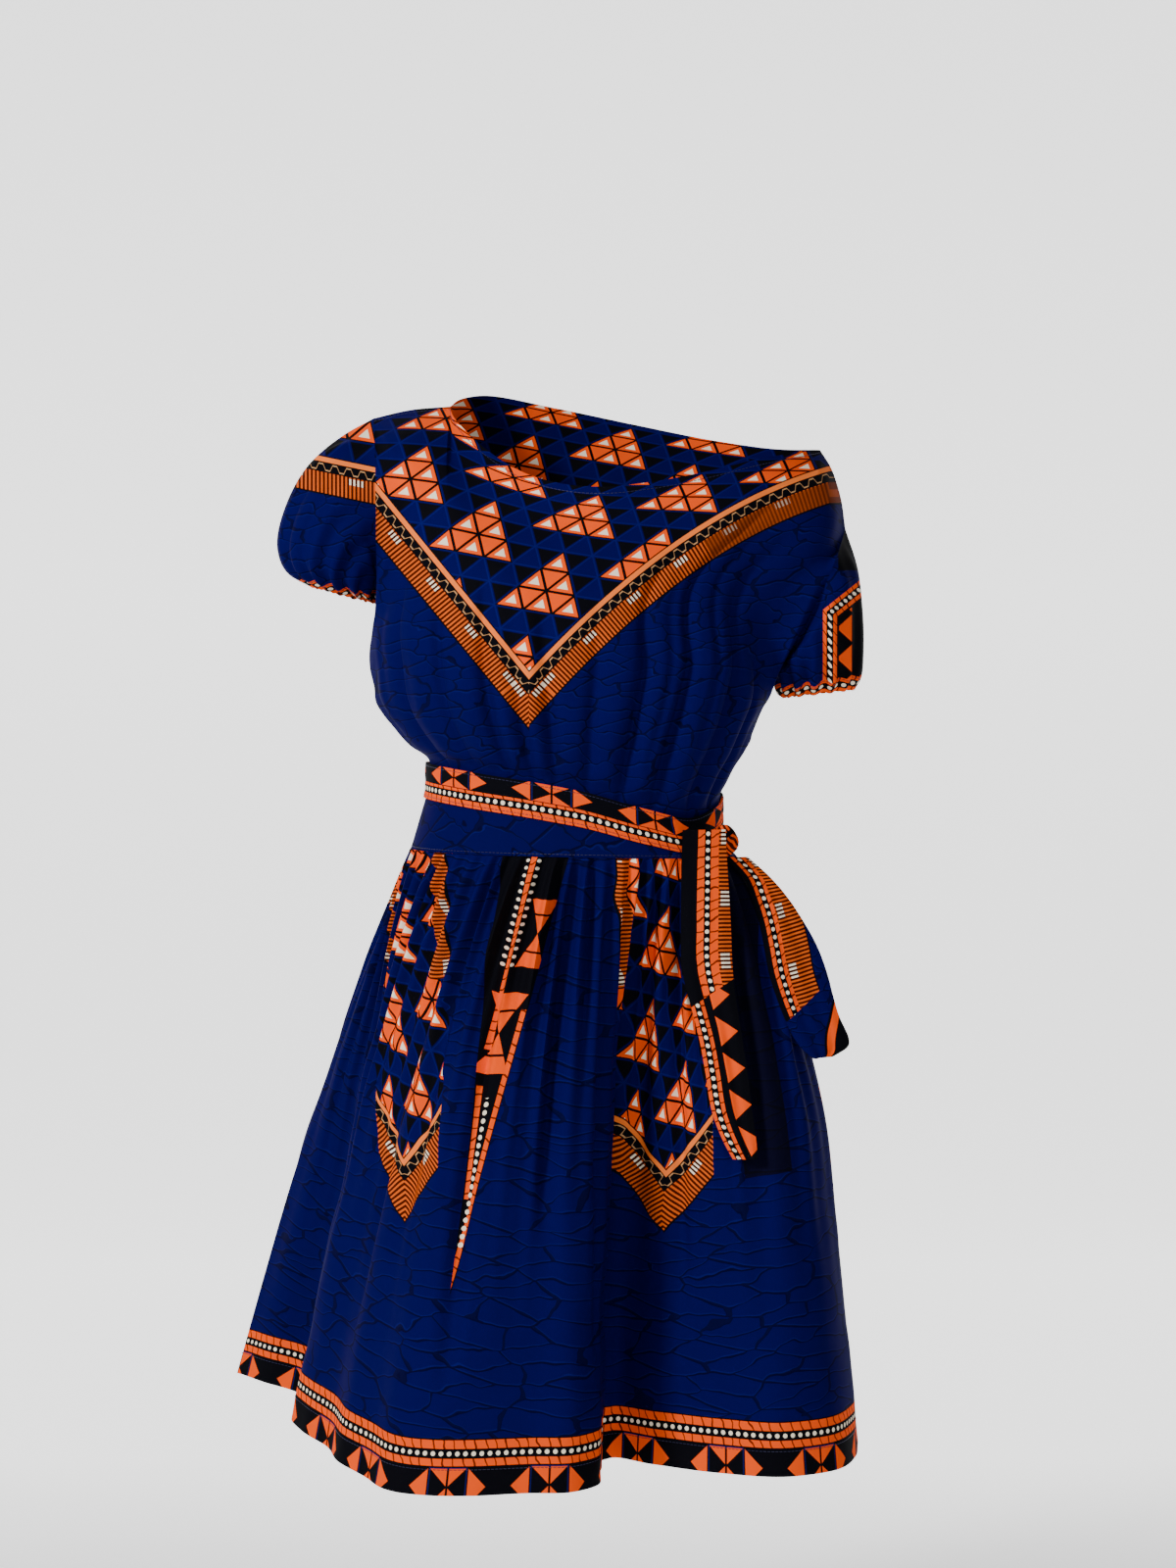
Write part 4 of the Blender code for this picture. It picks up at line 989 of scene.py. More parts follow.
def skirt_half(side, creases):
    grid = skirt_grid(side, SKIRT_FINE_ROWS, SKIRT_STEPS)
    share = np.linspace(-1.0, 1.0, grid.shape[1])
    along = SKIRT_FINE_ROWS
    outward = grid_normals(evened(grid, FOLD_REACH), False) * -side
    gather = on_curve(FALLS, "along", "gather", along)[:, None]
    ends = ease((1.0 - np.abs(share)) * GATHERS / 2)[None, :]
    part = (share + 1) / 2
    drift = SMALL_GATHER_DRIFT * np.sin(SMALL_GATHER_DRIFT_RATE * share + side)
    swing = np.sin(2 * np.pi * (GATHERS * SMALL_GATHER_RATE * part + drift))
    calm = ease((along - SKIRT_CALM) / SKIRT_CALM_OVER)[:, None]
    soft = unevenness(grid, SKIRT_SWELL, SKIRT_UNEVEN, SKIRT_SEED + side) * calm
    height = SMALL_GATHER * gather * swing[None, :] + soft
    grid = grid + outward * (height * ends)[:, :, None]
    return creased(grid, share, along, creases, -side)


# Where the middle of the print is seen, and how far out it is placed as it is seen from the front
PRINT_MIDDLE = -0.0128
PRINT_FACING = 0.090
PRINT_TURN = 0.090


def even_map(grid, side):
    """Lengths round the skirt from the middle of the print, and down it, with the gathers smoothed out."""
    count = grid.shape[1]
    even = evened(grid, FOLD_REACH)
    away = np.abs(seen_map(even, side)[:, :, 0] - PRINT_MIDDLE)
    round_it = ease((away[:, 1:] - PRINT_FACING) / PRINT_TURN)
    steps = np.diff(even, axis=1)
    steps = np.sqrt(steps[:, :, 0] ** 2 + (steps[:, :, 1] ** 2 + steps[:, :, 2] ** 2) * round_it)
    across = np.concatenate([np.zeros((len(grid), 1)), np.cumsum(steps, axis=1)], axis=1)
    inner = slice(count // 4, -count // 4)
    seen = seen_map(even, side)[:, inner, 0]
    middle = [[np.interp(PRINT_MIDDLE, row, length)] for row, length in zip(seen, across[:, inner])]
    return np.stack([across - middle, lengths(even)], axis=2)


def skirt_maps(side):
    grid = skirt[side]
    return {"Cloth": cloth_map(grid, PANEL_WIDTH), "Print": even_map(grid, side), "Hem": hem_map(grid)}


skirt = {1: skirt_half(1, FRONT_SKIRT_CREASES), -1: skirt_half(-1, BACK_SKIRT_CREASES)}
skirt_front = shell("skirt_front_cloth", skirt[1], skirt_maps(1), outward=-1)
skirt_back = shell("skirt_back_cloth", skirt[-1], skirt_maps(-1), outward=1)

# %% [markdown]
# The sash's ends fall from the knot at the wearer's left. A tail lies on the cloth behind it: its edges are
# placed as they are seen from the front, and it is moved forward until it just clears what it lies on. The
# long one hangs straight, with a fold turned over at its foot; the short one opens out over the hip.

# %% Sash tails
Strip = namedtuple("Strip", "height left right")
LONG_TAIL = (
    Strip(-0.3660, 0.0800, 0.1160),
    Strip(-0.4066, 0.0784, 0.1180),
    Strip(-0.4454, 0.0778, 0.1200),
    Strip(-0.4851, 0.0792, 0.1216),
    Strip(-0.5165, 0.0870, 0.1254),
    Strip(-0.5399, 0.0930, 0.1291),
    Strip(-0.5718, 0.0988, 0.1339),
    Strip(-0.6029, 0.1042, 0.1376),
    Strip(-0.6268, 0.1137, 0.1408),
    Strip(-0.6403, 0.1209, 0.1416),
)
SHORT_TAIL = (
    Strip(-0.3904, 0.1160, 0.1360),
    Strip(-0.4068, 0.1310, 0.1543),
    Strip(-0.4260, 0.1392, 0.1709),
    Strip(-0.4451, 0.1451, 0.1835),
    Strip(-0.4660, 0.1493, 0.1951),
    Strip(-0.4885, 0.1534, 0.2035),
    Strip(-0.5077, 0.1593, 0.2085),
    Strip(-0.5252, 0.1659, 0.2135),
    Strip(-0.5410, 0.1734, 0.2205),
    Strip(-0.5500, 0.1793, 0.2225),
    Strip(-0.5600, 0.1910, 0.2085),
)
TAIL_WINDOW = 0.008
TAIL_SLOPE = 0.28
TAIL_RIPPLE = 0.0012
TAIL_EVEN = 2

# How far each tail stands off what it lies on, from its top to its end
Stand = namedtuple("Stand", "along long short")
TAIL_STANDS = (
    Stand(0.0, -0.0027, -0.0020),
    Stand(0.08, -0.0023, -0.0020),
    Stand(0.22, 0.0028, -0.0018),
    Stand(0.45, 0.0030, -0.0016),
    Stand(1.0, 0.0045, 0.0),
)


def front_at(grids, x, height):
    """How far forward the cloth reaches at this place seen from the front, or None beside it."""
    nearest = None
    for grid in grids:
        tops = grid[:, :, 2].max(axis=0)
        bottoms = grid[:, :, 2].min(axis=0)
        order = np.argsort(grid[:, 0, 2])
        here = [
            [np.interp(height, grid[order, place, 2], grid[order, place, axis]) for axis in (0, 1)]
            for place in range(grid.shape[1])
            if bottoms[place] <= height <= tops[place]
        ]
        for (x_a, y_a), (x_b, y_b) in zip(here[:-1], here[1:]):
            if (x_a - x) * (x_b - x) <= 0 and x_a != x_b:
                y = y_a + (y_b - y_a) * (x - x_a) / (x_b - x_a)
                nearest = y if nearest is None else min(nearest, y)
    return nearest


def tail_grid(table, stand_name, grids, rows, columns):
    """A tail that lies on the cloth behind it: its edges as seen from the front, moved forward."""
    heights = np.linspace(table[0].height, table[-1].height, rows)
    left = on_curve(table[::-1], "height", "left", heights)
    right = on_curve(table[::-1], "height", "right", heights)
    part = np.linspace(0.0, 1.0, columns + 1)
    x = left[:, None] + (right - left)[:, None] * part[None, :]
    y = np.zeros_like(x)
    for row, height in enumerate(heights):
        for place in range(columns + 1):
            seen = [front_at(grids, x[row, place] + side * TAIL_WINDOW, height) for side in (-1, 0, 1)]
            seen = [value for value in seen if value is not None]
            y[row, place] = min(seen) if seen else 0.0
        for place in range(1, columns + 1):
            step = x[row, place] - x[row, place - 1]
            y[row, place] = min(y[row, place], y[row, place - 1] + TAIL_SLOPE * step)
    low = y
    for take in (np.min, np.mean):
        padded = np.pad(low, ((TAIL_EVEN, TAIL_EVEN), (0, 0)), mode="edge")
        low = take([padded[shift:shift + rows] for shift in range(2 * TAIL_EVEN + 1)], axis=0)
    along = np.linspace(0.0, 1.0, rows)
    stand = on_curve(TAIL_STANDS, "along", stand_name, along)[:, None]
    ripple = TAIL_RIPPLE * np.sin(3 * np.pi * part)[None, :] * ease(np.linspace(0, 4, rows))[:, None]
    y = np.minimum(low, y) - stand - np.abs(ripple)
    return np.stack([x, y, np.broadcast_to(heights[:, None], x.shape)], axis=2)


TAIL_ROWS = 22
TAIL_COLUMNS = 6
TAIL_FINE_ROWS = 90
TAIL_FINE_COLUMNS = 36
TAIL_SWELL = 0.03
TAIL_UNEVEN = 0.0010
TAIL_SEED = 21.0
COARSE_STEP = 4


def tail(name, table, stand_name):
    plain_skirt = skirt_grid(1, SKIRT_ROWS, 2)
    behind = (plain_skirt, coarse_ring(sash), coarse_ring(band))
    coarse = tail_grid(table, stand_name, behind, TAIL_ROWS, TAIL_COLUMNS)
    rows = np.linspace(0, len(coarse) - 1, TAIL_FINE_ROWS)
    columns = np.linspace(0, coarse.shape[1] - 1, TAIL_FINE_COLUMNS)
    grid = smooth(np.arange(len(coarse)), coarse, rows)
    grid = smooth(np.arange(coarse.shape[1]), grid.transpose(1, 0, 2), columns).transpose(1, 0, 2)
    soft = unevenness(grid, TAIL_SWELL, TAIL_UNEVEN, TAIL_SEED)
    grid[:, :, 1] -= np.abs(soft)
    maps = {"Cloth": cloth_map(grid), "Edge": edge_map(grid)}
    return shell(name, grid, maps, thick=SASH_CLOTH, outward=-1)


def coarse_ring(grid):
    return grid[::COARSE_STEP, :-1:COARSE_STEP]


tail_long = tail("sash_tail_long_cloth", LONG_TAIL, "long")
tail_short = tail("sash_tail_short_cloth", SHORT_TAIL, "short")

# %% [markdown]
# The knot is one soft lump of crossed folds. A sphere of points is pressed into pleats that swirl round
# from one side to the other, as cloth does where it is pulled through itself.

# %% Knot
KNOT_ANGLE = 28.0
KNOT_ANGLE_STEP = 2.0
KNOT_HEIGHT = -0.377
KNOT_SIZE = (0.030, 0.018, 0.028)
KNOT_STAND = 0.0105
KNOT_LOBE = 0.10
KNOT_LOBES = 3.0
KNOT_LOBE_TURN = 0.6

# The pleats of the knot: how many, how deep, how sharp, how they slant across and up, and how they swirl
KNOT_PLEATS = 5
KNOT_PLEAT_DEPTH = 0.10
KNOT_PLEAT_SHARP = 0.6
KNOT_SLANT = (1.6, 0.9)
KNOT_SWIRL = 1.4


def knot_axes():
    """The knot's middle, and the directions along the sash and away from the body there."""
    angle = np.radians([KNOT_ANGLE - KNOT_ANGLE_STEP, KNOT_ANGLE, KNOT_ANGLE + KNOT_ANGLE_STEP])
    height = np.full(3, KNOT_HEIGHT)
    before, here, after = waist_points_at(angle, height, SASH_CLEARANCE + SASH_CLOTH)
    along = (before - after) / np.linalg.norm(before - after)
    away = np.cross(along, (0.0, 0.0, 1.0))
    return here + away * KNOT_STAND, along, away


def make_knot():
    middle, along, away = knot_axes()
    sphere = bmesh.new()
    bmesh.ops.create_uvsphere(sphere, u_segments=96, v_segments=64, radius=0.5)
    for vert in sphere.verts:
        across, out, up = tuple(vert.co)
        turn = np.arctan2(up, across)
        lobes = 1.0 + KNOT_LOBE * np.cos(KNOT_LOBES * turn + KNOT_LOBE_TURN)
        slant = across * KNOT_SLANT[0] - up * KNOT_SLANT[1]
        swirl = KNOT_PLEATS * slant * 2 * np.pi + KNOT_SWIRL * np.sin(2 * turn)
        pleat = 1.0 - KNOT_PLEAT_DEPTH * np.abs(np.sin(swirl)) ** KNOT_PLEAT_SHARP
        place = middle + along * across * KNOT_SIZE[0] * lobes * pleat
        place = place + away * out * KNOT_SIZE[1] * pleat
        vert.co = place + np.array((0.0, 0.0, up * KNOT_SIZE[2] * lobes * pleat))
    sphere.normal_update()
    bmesh.ops.recalc_face_normals(sphere, faces=sphere.faces)
    mesh = bpy.data.meshes.new("sash_knot_cloth")
    sphere.to_mesh(mesh)
    sphere.free()
    mesh.shade_smooth()
    return put("sash_knot_cloth", mesh)


knot = make_knot()
print("knot", len(knot.data.polygons), "faces")

# %% [markdown]
# The print is the face of this cloth. It is a wax print: flat colours, hard edges, and fine dark cracks
# where the wax broke in the dye. A picture of it could be wrapped on, but here each motif is worked out from
# its own sizes instead, so it stays sharp from close by. These classes let the rules be written as plain
# sums: each sum becomes a Math node of the material.

# %% Sums as nodes
class Value:
    """A number worked out at every point of the cloth: a node's output that takes Python's signs."""

    def __init__(self, ink, socket):
        self.ink = ink
        self.socket = socket

    def __add__(self, other):
        return self.ink.sum("ADD", self, other)

    def __sub__(self, other):
        return self.ink.sum("SUBTRACT", self, other)

    def __rsub__(self, other):
        return self.ink.sum("SUBTRACT", other, self)

    def __mul__(self, other):
        return self.ink.sum("MULTIPLY", self, other)

    def __truediv__(self, other):
        return self.ink.sum("DIVIDE", self, other)

    def __lt__(self, other):
        return self.ink.sum("LESS_THAN", self, other)

    def __gt__(self, other):
        return self.ink.sum("GREATER_THAN", self, other)

    def __mod__(self, other):
        return self.ink.sum("FLOORED_MODULO", self, other)

    def __abs__(self):
        return self.ink.sum("ABSOLUTE", self)

    __radd__ = __add__
    __rmul__ = __mul__


class Ink:
    """One printed cloth's material, and the sums and colours that are written into it."""

    def __init__(self, name):
        self.material = bpy.data.materials.new(name)
        self.material.use_nodes = True
        self.nodes = self.material.node_tree.nodes
        self.links = self.material.node_tree.links
        self.shader = self.nodes["Principled BSDF"]

    def feed(self, socket, value):
        if isinstance(value, Value):
            self.links.new(value.socket, socket)
        else:
            socket.default_value = value

    def sum(self, kind, *parts):
        node = self.nodes.new("ShaderNodeMath")
        node.operation = kind
        for socket, part in zip(node.inputs, parts):
            self.feed(socket, part)
        return Value(self, node.outputs[0])

    def map(self, name):
        """The two lengths of a map, in millimetres."""
        node = self.nodes.new("ShaderNodeUVMap")
        node.uv_map = name
        split = self.nodes.new("ShaderNodeSeparateXYZ")
        self.links.new(node.outputs[0], split.inputs[0])
        return Value(self, split.outputs[0]) * 1000.0, Value(self, split.outputs[1]) * 1000.0

    def place(self, x, y):
        node = self.nodes.new("ShaderNodeCombineXYZ")
        self.feed(node.inputs[0], x)
        self.feed(node.inputs[1], y)
        return Value(self, node.outputs[0])

    def noise(self, x, y, size, detail=1.0):
        """Soft random numbers from 0 to 1, changing over this many millimetres."""
        node = self.nodes.new("ShaderNodeTexNoise")
        node.noise_dimensions = "2D"
        self.feed(node.inputs["Vector"], self.place(x / size, y / size))
        node.inputs["Scale"].default_value = 1.0
        node.inputs["Detail"].default_value = detail
        return Value(self, node.outputs[0])

    def cells(self, x, y):
        """The distance to the nearest border of random cells about one unit wide."""
        node = self.nodes.new("ShaderNodeTexVoronoi")
        node.voronoi_dimensions = "2D"
        node.feature = "DISTANCE_TO_EDGE"
        self.feed(node.inputs["Vector"], self.place(x, y))
        node.inputs["Scale"].default_value = 1.0
        return Value(self, node.outputs["Distance"])

    def paint(self, below, inside, colour):
        """The colour where inside is 1, and what was there where it is 0."""
        node = self.nodes.new("ShaderNodeMix")
        node.data_type = "RGBA"
        self.feed(node.inputs[0], inside)
        self.feed(node.inputs[6], below)
        self.feed(node.inputs[7], colour)
        return Value(self, node.outputs[2])

    def pick(self, part, first, second):
        """First where part is 0, second where it is 1."""
        return first + part * (second - first)

    def low(self, first, second):
        return self.sum("MINIMUM", first, second)

    def high(self, first, second):
        return self.sum("MAXIMUM", first, second)

    def root(self, value):
        return self.sum("SQRT", value)

    def between(self, value, start, end):
        return (value > start) * (value < end)


def shade(red, green, blue):
    """A colour named by its red, green and blue on a screen, from 0 to 255, as the light it stands for."""
    parts = np.array([red, green, blue]) / 255.0
    parts = np.where(parts > 0.04045, ((parts + 0.055) / 1.055) ** 2.4, parts / 12.92)
    return (*parts.tolist(), 1.0)


BLUE = shade(6, 0, 72)
PALE_BLUE = shade(22, 22, 104)
WAIST_BLUE = shade(6, 0, 68)
DEEP_BLUE = shade(2, 2, 26)
BLACK = shade(8, 8, 14)
ORANGE = shade(248, 80, 0)
PALE_ORANGE = shade(250, 122, 48)
RUST = shade(214, 88, 20)
CREAM = shade(255, 240, 212)
BROWN = shade(62, 16, 4)
WORN_BROWN = shade(112, 44, 8)
TAN = shade(186, 138, 92)

# %% [markdown]
# The blue ground has a net of fine dark cracks. On the real cloth, hot wax is printed on as a resist, cools
# and is crushed, and the dye creeps in along its cracks. A Voronoi texture gives the distance to the border
# of random cells, which is exactly such a net. A noise bends the cells, another makes some cracks fade, and
# the same net moved down a millimetre paints a thin highlight beside each crack, for an embossed look.

# %% Cracked wax ground
CRACK_WIDTH = 0.045
CRACK_SHIFT = 1.1
CRACK_BEND = 0.9
CRACK_BEND_OVER = 0.8
CRACK_FADE = 26.0
CRACK_FADE_SHIFT = 400.0
CRACK_DARK = 0.75
CRACK_PAINTED_HIGHLIGHT = 0.35
CRACK_PAINTED_HIGHLIGHT_WIDTH = 0.8


def crackle(ink, x, y, cell_x, cell_y, ground=BLUE):
    """The blue ground, its cracks and a painted highlight beside each crack, in cells of this size."""
    bend = (ink.noise(x, y, cell_x * CRACK_BEND_OVER, 2.0) - 0.5) * CRACK_BEND
    fade = ink.noise(x, y + CRACK_FADE_SHIFT, CRACK_FADE)
    across = x / cell_x + bend
    width = fade * (CRACK_WIDTH * 2.0)
    crack = ink.cells(across, y / cell_y + bend) < width
    # Painted highlight: pale blue beside each crack, where the net moved a millimetre falls, for an embossed
    # look
    light = ink.cells(across, (y + CRACK_SHIFT) / cell_y + bend) < width * CRACK_PAINTED_HIGHLIGHT_WIDTH
    colour = ink.paint(ground, light * CRACK_PAINTED_HIGHLIGHT, PALE_BLUE)
    return ink.paint(colour, crack * CRACK_DARK, DEEP_BLUE)


# %% [markdown]
# Borders run along the yoke, the hem, the sleeves and the sash. Each is a few rows side by side: cracked
# orange lines like courses of brick, white dots on black, a tan squiggle on black, and a comb of orange and
# white teeth. Each row needs two lengths only, across the border and along it, so one table can state a whole
# border, and the same rows serve wherever the border turns up.

# %% Rows of a border
Row = namedtuple("Row", "start end kind")
BRICK_LENGTH = 9.0
BRICK_JOINT = 1.3
BRICK_JOINT_DARK = 0.9
BRICK_SLANT = 0.35
BRICK_WANDER = 7.0
BRICK_WANDER_OVER = 14.0
DOT_PITCH = 6.9
DOT_RADIUS = 1.95
DOT_PART = 0.33
TOOTH_PITCH = 3.5
TOOTH_PART = 0.48
WHITE_EVERY = 52.0
WHITE_PART = 0.26
WHITE_REACH = (0.07, 0.36)
SQUIGGLE_PITCH = 12.0
SQUIGGLE_REACH = 2.5
SQUIGGLE_HALF = 0.55
SQUIGGLE_CUT = 1.8


def plain_row(ink, below, inside, across, along, width):
    return ink.paint(below, inside, BLACK)


def brick_row(ink, below, inside, across, along, width):
    colour = ink.paint(below, inside, ORANGE)
    wander = ink.noise(along, across, BRICK_WANDER_OVER) * BRICK_WANDER
    joint = (along + across * BRICK_SLANT + wander) % BRICK_LENGTH < BRICK_JOINT
    return ink.paint(colour, inside * joint * BRICK_JOINT_DARK, BROWN)


def line_row(ink, below, inside, across, along, width):
    return ink.paint(below, inside, PALE_ORANGE)


def dot_row(ink, below, inside, across, along, width):
    colour = ink.paint(below, inside, BLACK)
    aside = along % DOT_PITCH - DOT_PITCH / 2
    off = across - width / 2
    radius = min(DOT_RADIUS, width * DOT_PART)
    return ink.paint(colour, inside * (aside * aside + off * off < radius ** 2), CREAM)


def squiggle_row(ink, below, inside, across, along, width):
    colour = ink.paint(below, inside, BLACK)
    swing = ink.sum("SINE", along * (2 * np.pi / SQUIGGLE_PITCH)) * (SQUIGGLE_CUT * SQUIGGLE_REACH)
    swing = ink.high(ink.low(swing, SQUIGGLE_REACH), -SQUIGGLE_REACH)
    return ink.paint(colour, inside * (abs(across - width / 2 - swing) < SQUIGGLE_HALF), TAN)


def comb_row(ink, below, inside, across, along, width):
    colour = ink.paint(below, inside, BROWN)
    tooth = inside * ((along / TOOTH_PITCH) % 1.0 < TOOTH_PART)
    colour = ink.paint(colour, tooth, RUST)
    white = (along / WHITE_EVERY) % 1.0 < WHITE_PART
    white = white * ink.between(across, width * WHITE_REACH[0], width * WHITE_REACH[1])
    return ink.paint(colour, tooth * white, CREAM)


def turned_comb_row(ink, below, inside, across, along, width):
    return comb_row(ink, below, inside, width - across, along, width)


ROW_KINDS = {"plain": plain_row, "bricks": brick_row, "line": line_row, "dots": dot_row,
             "squiggle": squiggle_row, "comb": comb_row, "turned comb": turned_comb_row}


def border(ink, below, across, along, rows, where=1.0):
    """A border's rows painted over what is below them, only where `where` is 1."""
    colour = below
    for row in rows:
        inside = ink.between(across, row.start, row.end) * where
        colour = ROW_KINDS[row.kind](ink, colour, inside, across - row.start, along, row.end - row.start)
    return colour


# %% [markdown]
# Inside the yoke and inside each V of the skirt lies a field of triangles. It is the oldest of patchwork
# patterns: slanting cells cut in two, some dark and some blue, with groups of nine in orange, each with a
# cream heart. A point's place on two slanted directions gives its cell and its half of it, and the distance
# to the half's sides gives the dark lines and the hearts.

# %% Field of triangles
Slant = namedtuple("Slant", "x1 y1 x2 y2")
GROUP = 3.0
CELL_LINE = 0.055
HEART = 0.20
FIELD_EDGE = 0.075
FIELD_LINE = 0.03
FIELD_LINE_PART = 0.4


def slanted(x, y, slant):
    """A place in steps along the two slanted directions."""
    size = slant.x1 * slant.y2 - slant.x2 * slant.y1
    return (x * slant.y2 - y * slant.x2) / size, (y * slant.x1 - x * slant.y1) / size


def in_group(ink, first, second):
    return (first > 0.0) * (second > 0.0) * (first + second < GROUP)


def triangles(ink, below, inside, x, y, slant):
    """The field of triangles, with its groups of nine, painted where inside is 1."""
    first, second = slanted(x, y, slant)
    part_a = first % 1.0
    part_b = second % 1.0
    third = 1.0 - part_a - part_b
    upper = third > 0.0
    near = ink.low(ink.pick(upper, 1.0 - part_a, part_a), ink.pick(upper, 1.0 - part_b, part_b))
    near = ink.low(near, abs(third))
    turn_a = ((first * 2.0 + second) / 6.0) % 1.0
    turn_b = ((second - first) / 6.0) % 1.0
    place_a = (turn_a - turn_b) * 2.0
    place_b = turn_a * 2.0 + turn_b * 4.0
    group = ink.high(in_group(ink, place_a, place_b), in_group(ink, place_a + 2.0, place_b - 4.0))
    colour = ink.paint(BLACK, ink.high(upper, near < FIELD_EDGE), BLUE)
    colour = ink.paint(colour, (near < FIELD_LINE) * FIELD_LINE_PART, PALE_BLUE)
    colour = ink.paint(colour, group, ORANGE)
    colour = ink.paint(colour, group * upper * (near > HEART), CREAM)
    colour = ink.paint(colour, group * (near < CELL_LINE), BLACK)
    return ink.paint(below, inside, colour)


# %% [markdown]
# The last step is the same for every piece: the printed colour goes to the shader, and a fine bump gives the
# cotton its plain weave. Cotton is matt, so it hardly mirrors the lights.

# %% Cotton
WEAVE = 0.9
WEAVE_BUMP = 0.00012
WEAVE_STRENGTH = 0.35
COTTON_ROUGHNESS = 0.80
COTTON_MIRROR = 0.03


def cotton(ink, colour, x, y):
    """The finished material: the print on matt, finely woven cotton."""
    ink.feed(ink.shader.inputs["Base Color"], colour)
    ink.shader.inputs["Roughness"].default_value = COTTON_ROUGHNESS
    ink.shader.inputs["Specular IOR Level"].default_value = COTTON_MIRROR
    bump = ink.nodes.new("ShaderNodeBump")
    bump.inputs["Strength"].default_value = WEAVE_STRENGTH
    bump.inputs["Distance"].default_value = WEAVE_BUMP
    ink.feed(bump.inputs["Height"], ink.noise(x, y, WEAVE, 2.0))
    ink.links.new(bump.outputs["Normal"], ink.shader.inputs["Normal"])
    return ink.material


# %% [markdown]
# The bodice's yoke is a deep V, its tip a little to the wearer's right. The border follows it on the outside:
# first the pale line, then the squiggle, then the comb. The right arm of the V is straight and the left one
# bends over the bust, so the left is a parabola. The length along the V is measured to the foot of the
# shortest line to it, and the two arms meet at the tip in a mitre.

# %% Bodice print
YOKE_TIP = (-51.0, -232.3)
RIGHT_ARM_FALL = -1.231
LEFT_ARM_RISE = 1.085
LEFT_ARM_BEND = 0.001542
LEFT_ARM_END = 260.0

# Far from the tip, the comb runs together into a solid brown
SOLID_ROW = (14.0, 31.0)
SOLID_ALONG = (190.0, 460.0)
SOLID_PART = 0.72

BODICE_CELLS = (30.0, 12.0)
FIELD_START = (-80.8, -174.1)
YOKE_SLANT = Slant(24.67, -4.1, 20.0, 16.83)
YOKE_ROWS = (
    Row(-0.6, 0.4, "plain"),
    Row(0.4, 4.6, "line"),
    Row(4.6, 13.4, "squiggle"),
    Row(13.4, 31.0, "comb"),
    Row(31.0, 32.4, "plain"),
)


def along_yoke(ink, x, y):
    """How far a place is below the V of the yoke, and how far along it from the tip."""
    aside = ink.low(x - YOKE_TIP[0], LEFT_ARM_END)
    left = aside > 0.0
    line = ink.pick(left, aside * RIGHT_ARM_FALL, aside * (LEFT_ARM_RISE - aside * LEFT_ARM_BEND))
    slope = ink.pick(left, RIGHT_ARM_FALL, LEFT_ARM_RISE - aside * (2 * LEFT_ARM_BEND))
    steep = ink.root(slope * slope + 1.0)
    down = (line + YOKE_TIP[1] - y) / steep
    foot = aside - down * slope / steep
    mean = ink.pick(left, RIGHT_ARM_FALL, LEFT_ARM_RISE - foot * LEFT_ARM_BEND)
    return down, abs(foot) * ink.root(mean * mean + 1.0)


def bodice_print():
    ink = Ink("blue_wax_print_bodice")
    x, y = ink.map("Print")
    seen_x, seen_y = ink.map("Seen")
    colour = crackle(ink, x, y, *BODICE_CELLS)
    down, along = along_yoke(ink, seen_x, seen_y)
    colour = triangles(ink, colour, down < 0.0, x - FIELD_START[0], y - FIELD_START[1], YOKE_SLANT)
    colour = border(ink, colour, down, along, YOKE_ROWS)
    solid = ink.between(down, *SOLID_ROW) * ink.between(along, *SOLID_ALONG)
    colour = ink.paint(colour, solid * SOLID_PART, WORN_BROWN)
    return cotton(ink, colour, x, y)


bodice_cotton = bodice_print()
print("bodice print", len(bodice_cotton.node_tree.nodes), "nodes")

# %% [markdown]
# Each sleeve was cut from another part of the same printed cloth. The right one carries a piece of the yoke's
# border over its top and a border of bricks and dots at its hem. The left one has slipped off the shoulder,
# and a border of bricks and dots bends round its outer corner, with black and orange beyond.

# %% Sleeve prints
CUFF_ROWS = (
    Row(-1.0, 4.0, "bricks"),
    Row(4.0, 10.5, "dots"),
    Row(10.5, 14.0, "bricks"),
)
SLEEVE_CELLS = (26.0, 11.0)
RIGHT_BAND = (-227.9, -46.6, -0.2074)
RIGHT_BAND_TILT = 0.979
CORNER_ROWS = (
    Row(0.0, 3.2, "bricks"),
    Row(3.2, 9.0, "dots"),
    Row(9.0, 12.2, "bricks"),
    Row(12.2, 90.0, "plain"),
)
CORNER_SIDE = 203.5
CORNER_TOP = (236.0, -153.0, 0.80)
CORNER_TILT = 0.78

# The orange peaks inside the corner: where they start, how far out they end, and their pitch and slope
PEAKS_FROM = 14.0
PEAKS_INSET = 12.0
PEAKS_END = 25.0
PEAK_PITCH = 26.0
PEAK_SLOPE = 0.9
DARK_PATCH = (216.5, -145.0)


def right_sleeve_print():
    ink = Ink("blue_wax_print_right_sleeve")
    x, y = ink.map("Seen")
    hem_x, hem_y = ink.map("Hem")
    colour = crackle(ink, x, y, *SLEEVE_CELLS)
    down = (RIGHT_BAND[1] + (x - RIGHT_BAND[0]) * RIGHT_BAND[2] - y) * RIGHT_BAND_TILT
    colour = triangles(ink, colour, down < 0.0, x - FIELD_START[0], y - FIELD_START[1], YOKE_SLANT)
    colour = border(ink, colour, down, x, YOKE_ROWS)
    colour = border(ink, colour, hem_y, hem_x, CUFF_ROWS)
    return cotton(ink, colour, x, y)


